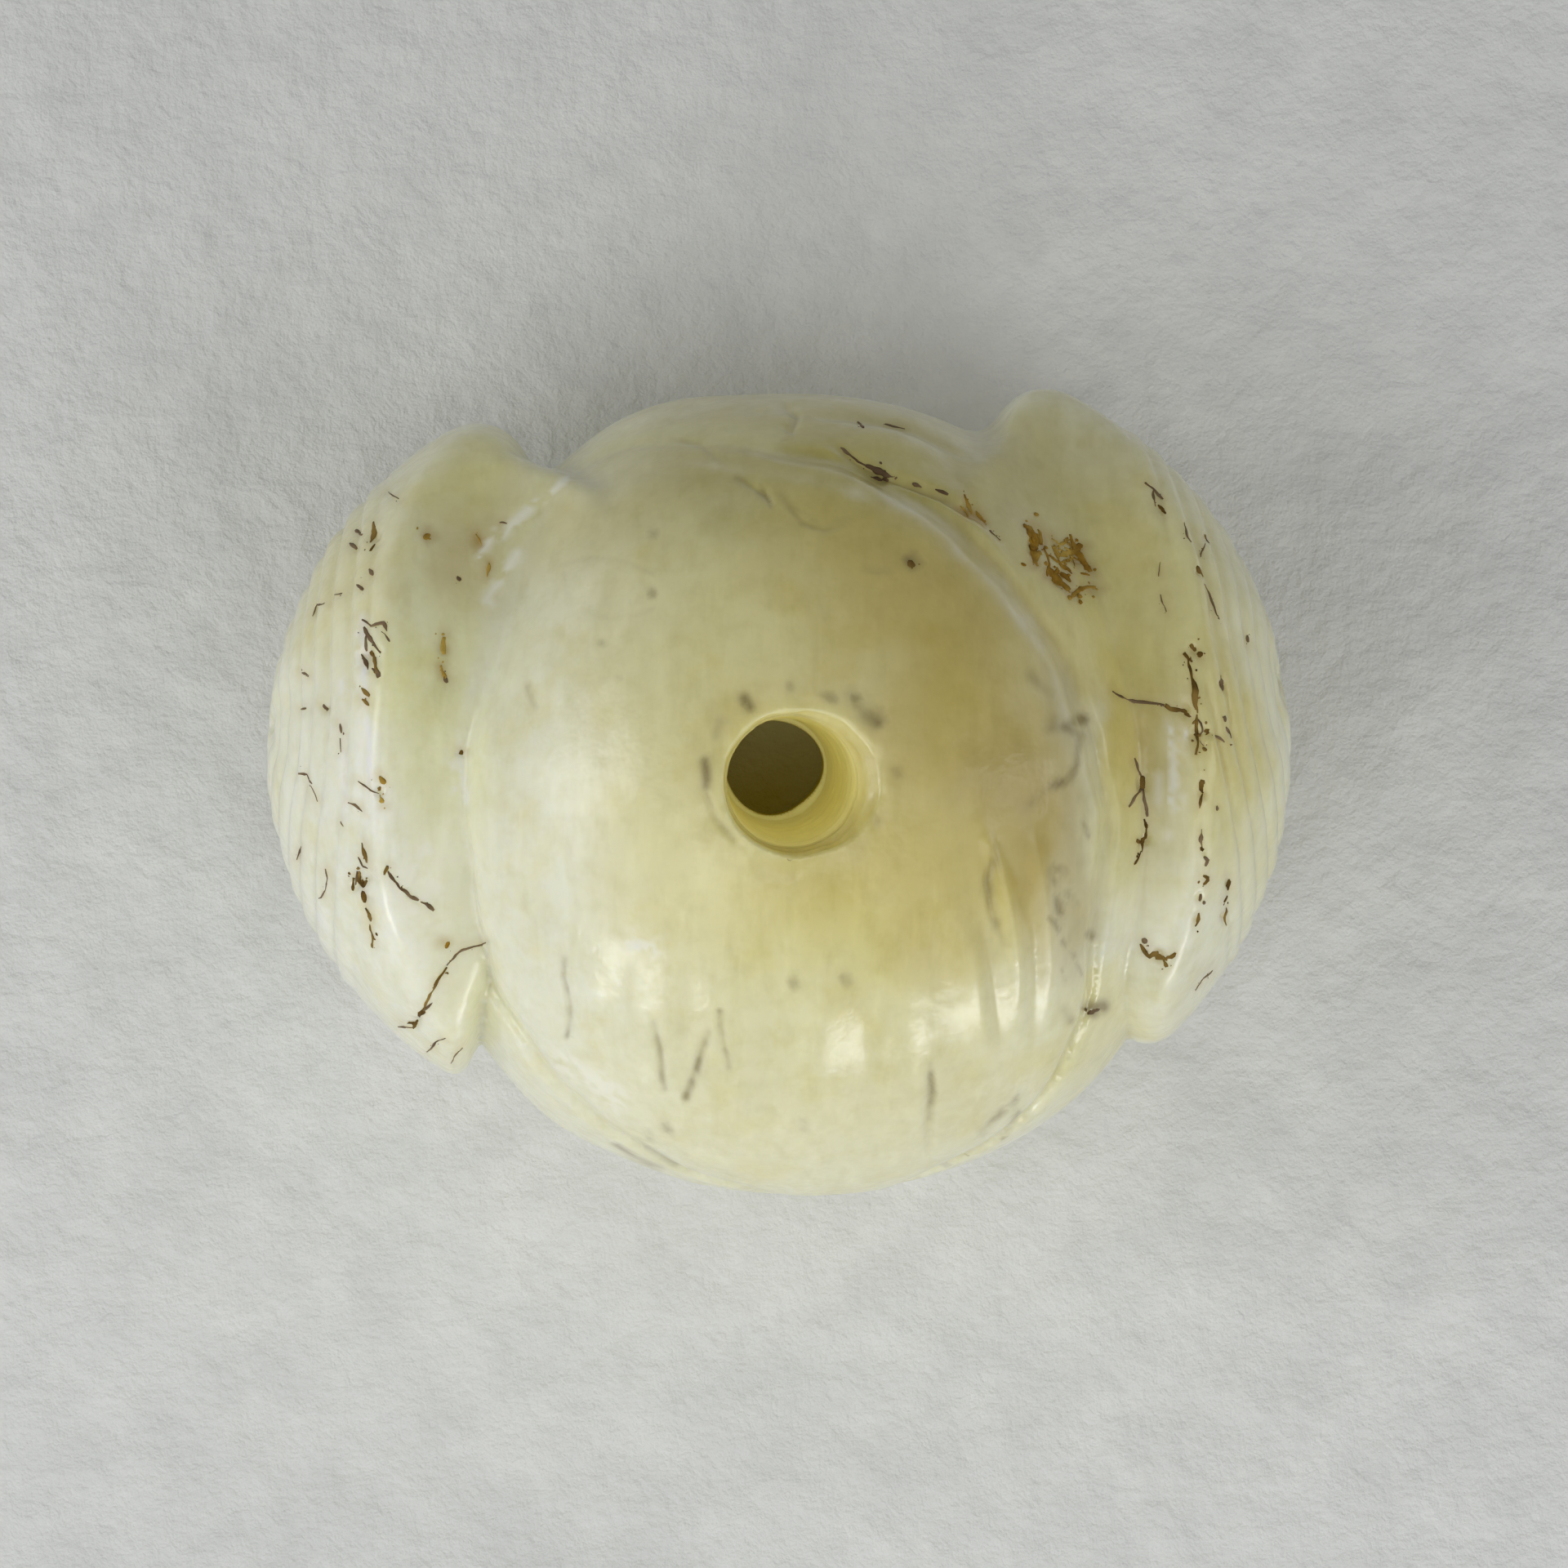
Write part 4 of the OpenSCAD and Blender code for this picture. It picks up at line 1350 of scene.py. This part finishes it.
def stone_material():
    shader = Shader("carved_stone")
    noise, remap, times, math_node = shader.noise, shader.remap, shader.times, shader.math
    stain, frost_and_glint = shader.attribute("stain"), shader.attribute("frost_and_glint")
    wall, deep = shader.attribute("wall"), shader.attribute("deep")
    # the polish is duller where frosted and on the channel's wall
    rough = remap(noise(0.8, rough=0.6, shift=0.03), 0.3, 0.7, to_low=0.28, to_high=0.38)
    rough = math_node("ADD", rough, times(frost_and_glint, 0.25))
    rough = math_node("ADD", rough, times(wall, 0.25))
    coat = math_node("SUBTRACT", 0.55, times(wall, 0.5))
    coat = math_node("SUBTRACT", coat, times(shader.attribute("deep"), 0.55))
    clear = math_node("SUBTRACT", 1.0, math_node("MAXIMUM", deep, times(stain, 0.60)))
    swell = shader.bump(noise(0.7, rough=0.5, shift=0.07), distance=0.045, strength=0.5)
    grain = noise(0.14, detail=2, shift=0.01)
    # the hand polish is uneven, which breaks up the reflections
    polish = noise(0.55, shift=0.21)
    # painted light: the channel's wall and the bore below the step glow, standing in for light that
    # reaches the hole through the stone
    patches = remap(noise(0.9, detail=2), 0.3, 0.7)
    painted_glow = shader.mix(patches, (0.30, 0.205, 0.002), (0.36, 0.25, 0.004))
    shader.set({
        "Base Color": stone_colour(shader, stain, frost_and_glint),
        "Roughness": rough,
        "IOR": 1.56,
        "Coat Weight": coat,
        "Coat Roughness": 0.21,
        "Coat IOR": 1.45,
        "Specular IOR Level": math_node("SUBTRACT", 0.40, times(deep, 0.4)),
        "Subsurface Weight": times(clear, 0.55),
        "Subsurface Radius": (1.0, 0.85, 0.5),
        "Subsurface Scale": 0.9 * MM,
        "Normal": shader.bump(grain, distance=0.004, strength=0.3, normal=swell),
        "Coat Normal": shader.bump(polish, distance=0.06, strength=0.55, normal=swell),
        # painted glow in the channel's wall and the bore below the step
        "Emission Color": shader.mix(wall, painted_glow, (0.62, 0.56, 0.20)),
        "Emission Strength": math_node("ADD", times(deep, 0.185), times(wall, 0.155)),
    })
    return shader.material


def residue_material(name, tones, rough):
    shader = Shader(name)
    patches = shader.remap(shader.noise(0.25, rough=0.6), 0.35, 0.65)
    colour = shader.mix(patches, tones[0], tones[1])
    patches = shader.remap(shader.noise(0.9, detail=2, rough=0.5, shift=0.04), 0.45, 0.62)
    grain = shader.noise(0.05, detail=2, rough=0.6)
    shader.set({
        "Base Color": shader.mix(patches, colour, tones[2]),
        "Roughness": rough,
        "Specular IOR Level": 0.15,
        "Normal": shader.bump(grain, distance=0.01, strength=0.6),
    })
    return shader.material


def floor_material():
    shader = Shader("floor")
    patches = shader.remap(shader.noise(1.6, detail=4, rough=0.62), 0.3, 0.7)
    grain = shader.noise(1.2, detail=5, rough=0.65)
    shader.set({
        "Base Color": shader.mix(patches, (0.725, 0.735, 0.72), (0.815, 0.825, 0.805)),
        "Roughness": 0.95,
        "Specular IOR Level": 0.1,
        "Normal": shader.bump(grain, distance=0.32, strength=0.6),
    })
    return shader.material


# Residues: object, kind of crack, share of specks, material, its tones, roughness
RESIDUES = (
    ("crack_residue_dark", "d", 0.60, "crack_dirt",
     ((0.070, 0.038, 0.006), (0.17, 0.095, 0.014), (0.30, 0.19, 0.045)), 0.7),
    ("crack_residue_brown", "b", 0.45, "crack_stain",
     ((0.19, 0.13, 0.065), (0.27, 0.19, 0.105), (0.13, 0.08, 0.04)), 0.6),
    ("crack_residue_rust", "r", 1.0, "crack_rust",
     ((0.42, 0.24, 0.025), (0.24, 0.12, 0.010), (0.58, 0.40, 0.08)), 0.75),
)
stone.data.materials.append(stone_material())
pieces = [stone]
for name, kind, specks, material, tones, rough in RESIDUES:
    piece = make_mesh(name, *fill_cracks(kind, specks))
    piece.data.materials.append(residue_material(material, tones, rough))
    pieces.append(piece)
for piece in pieces:
    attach(piece, "root")
    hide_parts("carved_body")


# ---------------------------------------------------------------- stage
def to_world(place):
    return Vector((np.array(place, float) * MM + ORIGIN).tolist())


def add_object(name, data, place):
    thing = bpy.data.objects.new(name, data)
    thing.location = to_world(place)
    bpy.context.scene.collection.objects.link(thing)
    return thing


def build_floor(half=400.0):
    corners = [(-half, -half, SEAT), (half, -half, SEAT), (half, half, SEAT), (-half, half, SEAT)]
    floor = make_mesh("floor", np.array(corners), np.array([(0, 1, 2), (0, 2, 3)]), smooth=False)
    floor.data.materials.append(floor_material())


def around(azimuth, height, distance):
    """A place given by its angles in degrees from +X and above the floor's plane."""
    turn, rise = math.radians(azimuth), math.radians(height)
    return (
        distance * math.cos(turn) * math.cos(rise),
        distance * math.sin(turn) * math.cos(rise),
        distance * math.sin(rise),
    )


# Area lights, all aimed at the drawing's origin: name, place, size, watts
LIGHTS = [
    ("window", around(-62, 16, 170), (70, 40), 0.061),
    ("window_side", around(-134, 24, 170), (42, 32), 0.030),
    ("left", around(178, 20, 170), (120, 80), 0.034),
    ("left_soft", around(-150, 38, 175), (150, 150), 0.056),
    ("left_low", around(174, 32, 170), (36, 70), 0.030),
    ("right", around(-25, 38, 175), (120, 120), 0.032),
    ("right_low", around(4, 33, 170), (30, 60), 0.016),
    ("upper_right", around(58, 30, 175), (120, 100), 0.009),
    # two panels with a gap, because the camera keeps the light off from straight above
    ("overhead_left", (-57, -50, 222), (62, 145), 0.0515),
    ("overhead_right", (57, -50, 222), (62, 145), 0.0515),
]


def add_light(name, place, size, power):
    data = bpy.data.lights.new(name, "AREA")
    data.shape = "RECTANGLE"
    data.size, data.size_y = size[0] * MM, size[1] * MM
    data.energy = power
    light = add_object(name, data, place)
    aim = to_world((0, 0, 0)) - light.location
    light.rotation_euler = aim.to_track_quat("-Z", "Y").to_euler()


def build_world():
    world = bpy.data.worlds.new("soft")
    world.use_nodes = True
    background = world.node_tree.nodes["Background"]
    background.inputs["Color"].default_value = (0.97, 0.985, 1.0, 1)
    background.inputs["Strength"].default_value = 0.14
    bpy.context.scene.world = world


def build_camera():
    data = bpy.data.cameras.new("camera")
    data.sensor_width = SENSOR
    data.lens = SENSOR / 2 / (HALF_VIEW / CAMERA_DISTANCE)
    data.clip_start, data.clip_end = 0.002, 5
    camera = add_object("camera", data, EYE)
    back = Vector(AWAY)
    right = Vector((0, 1, 0)).cross(back).normalized()
    up = back.cross(right)
    camera.rotation_euler = Matrix((right, up, back)).transposed().to_euler()
    bpy.context.scene.camera = camera


build_floor()
for row in LIGHTS:
    add_light(*row)
build_world()
build_camera()
bpy.context.scene.view_settings.view_transform = "Standard"
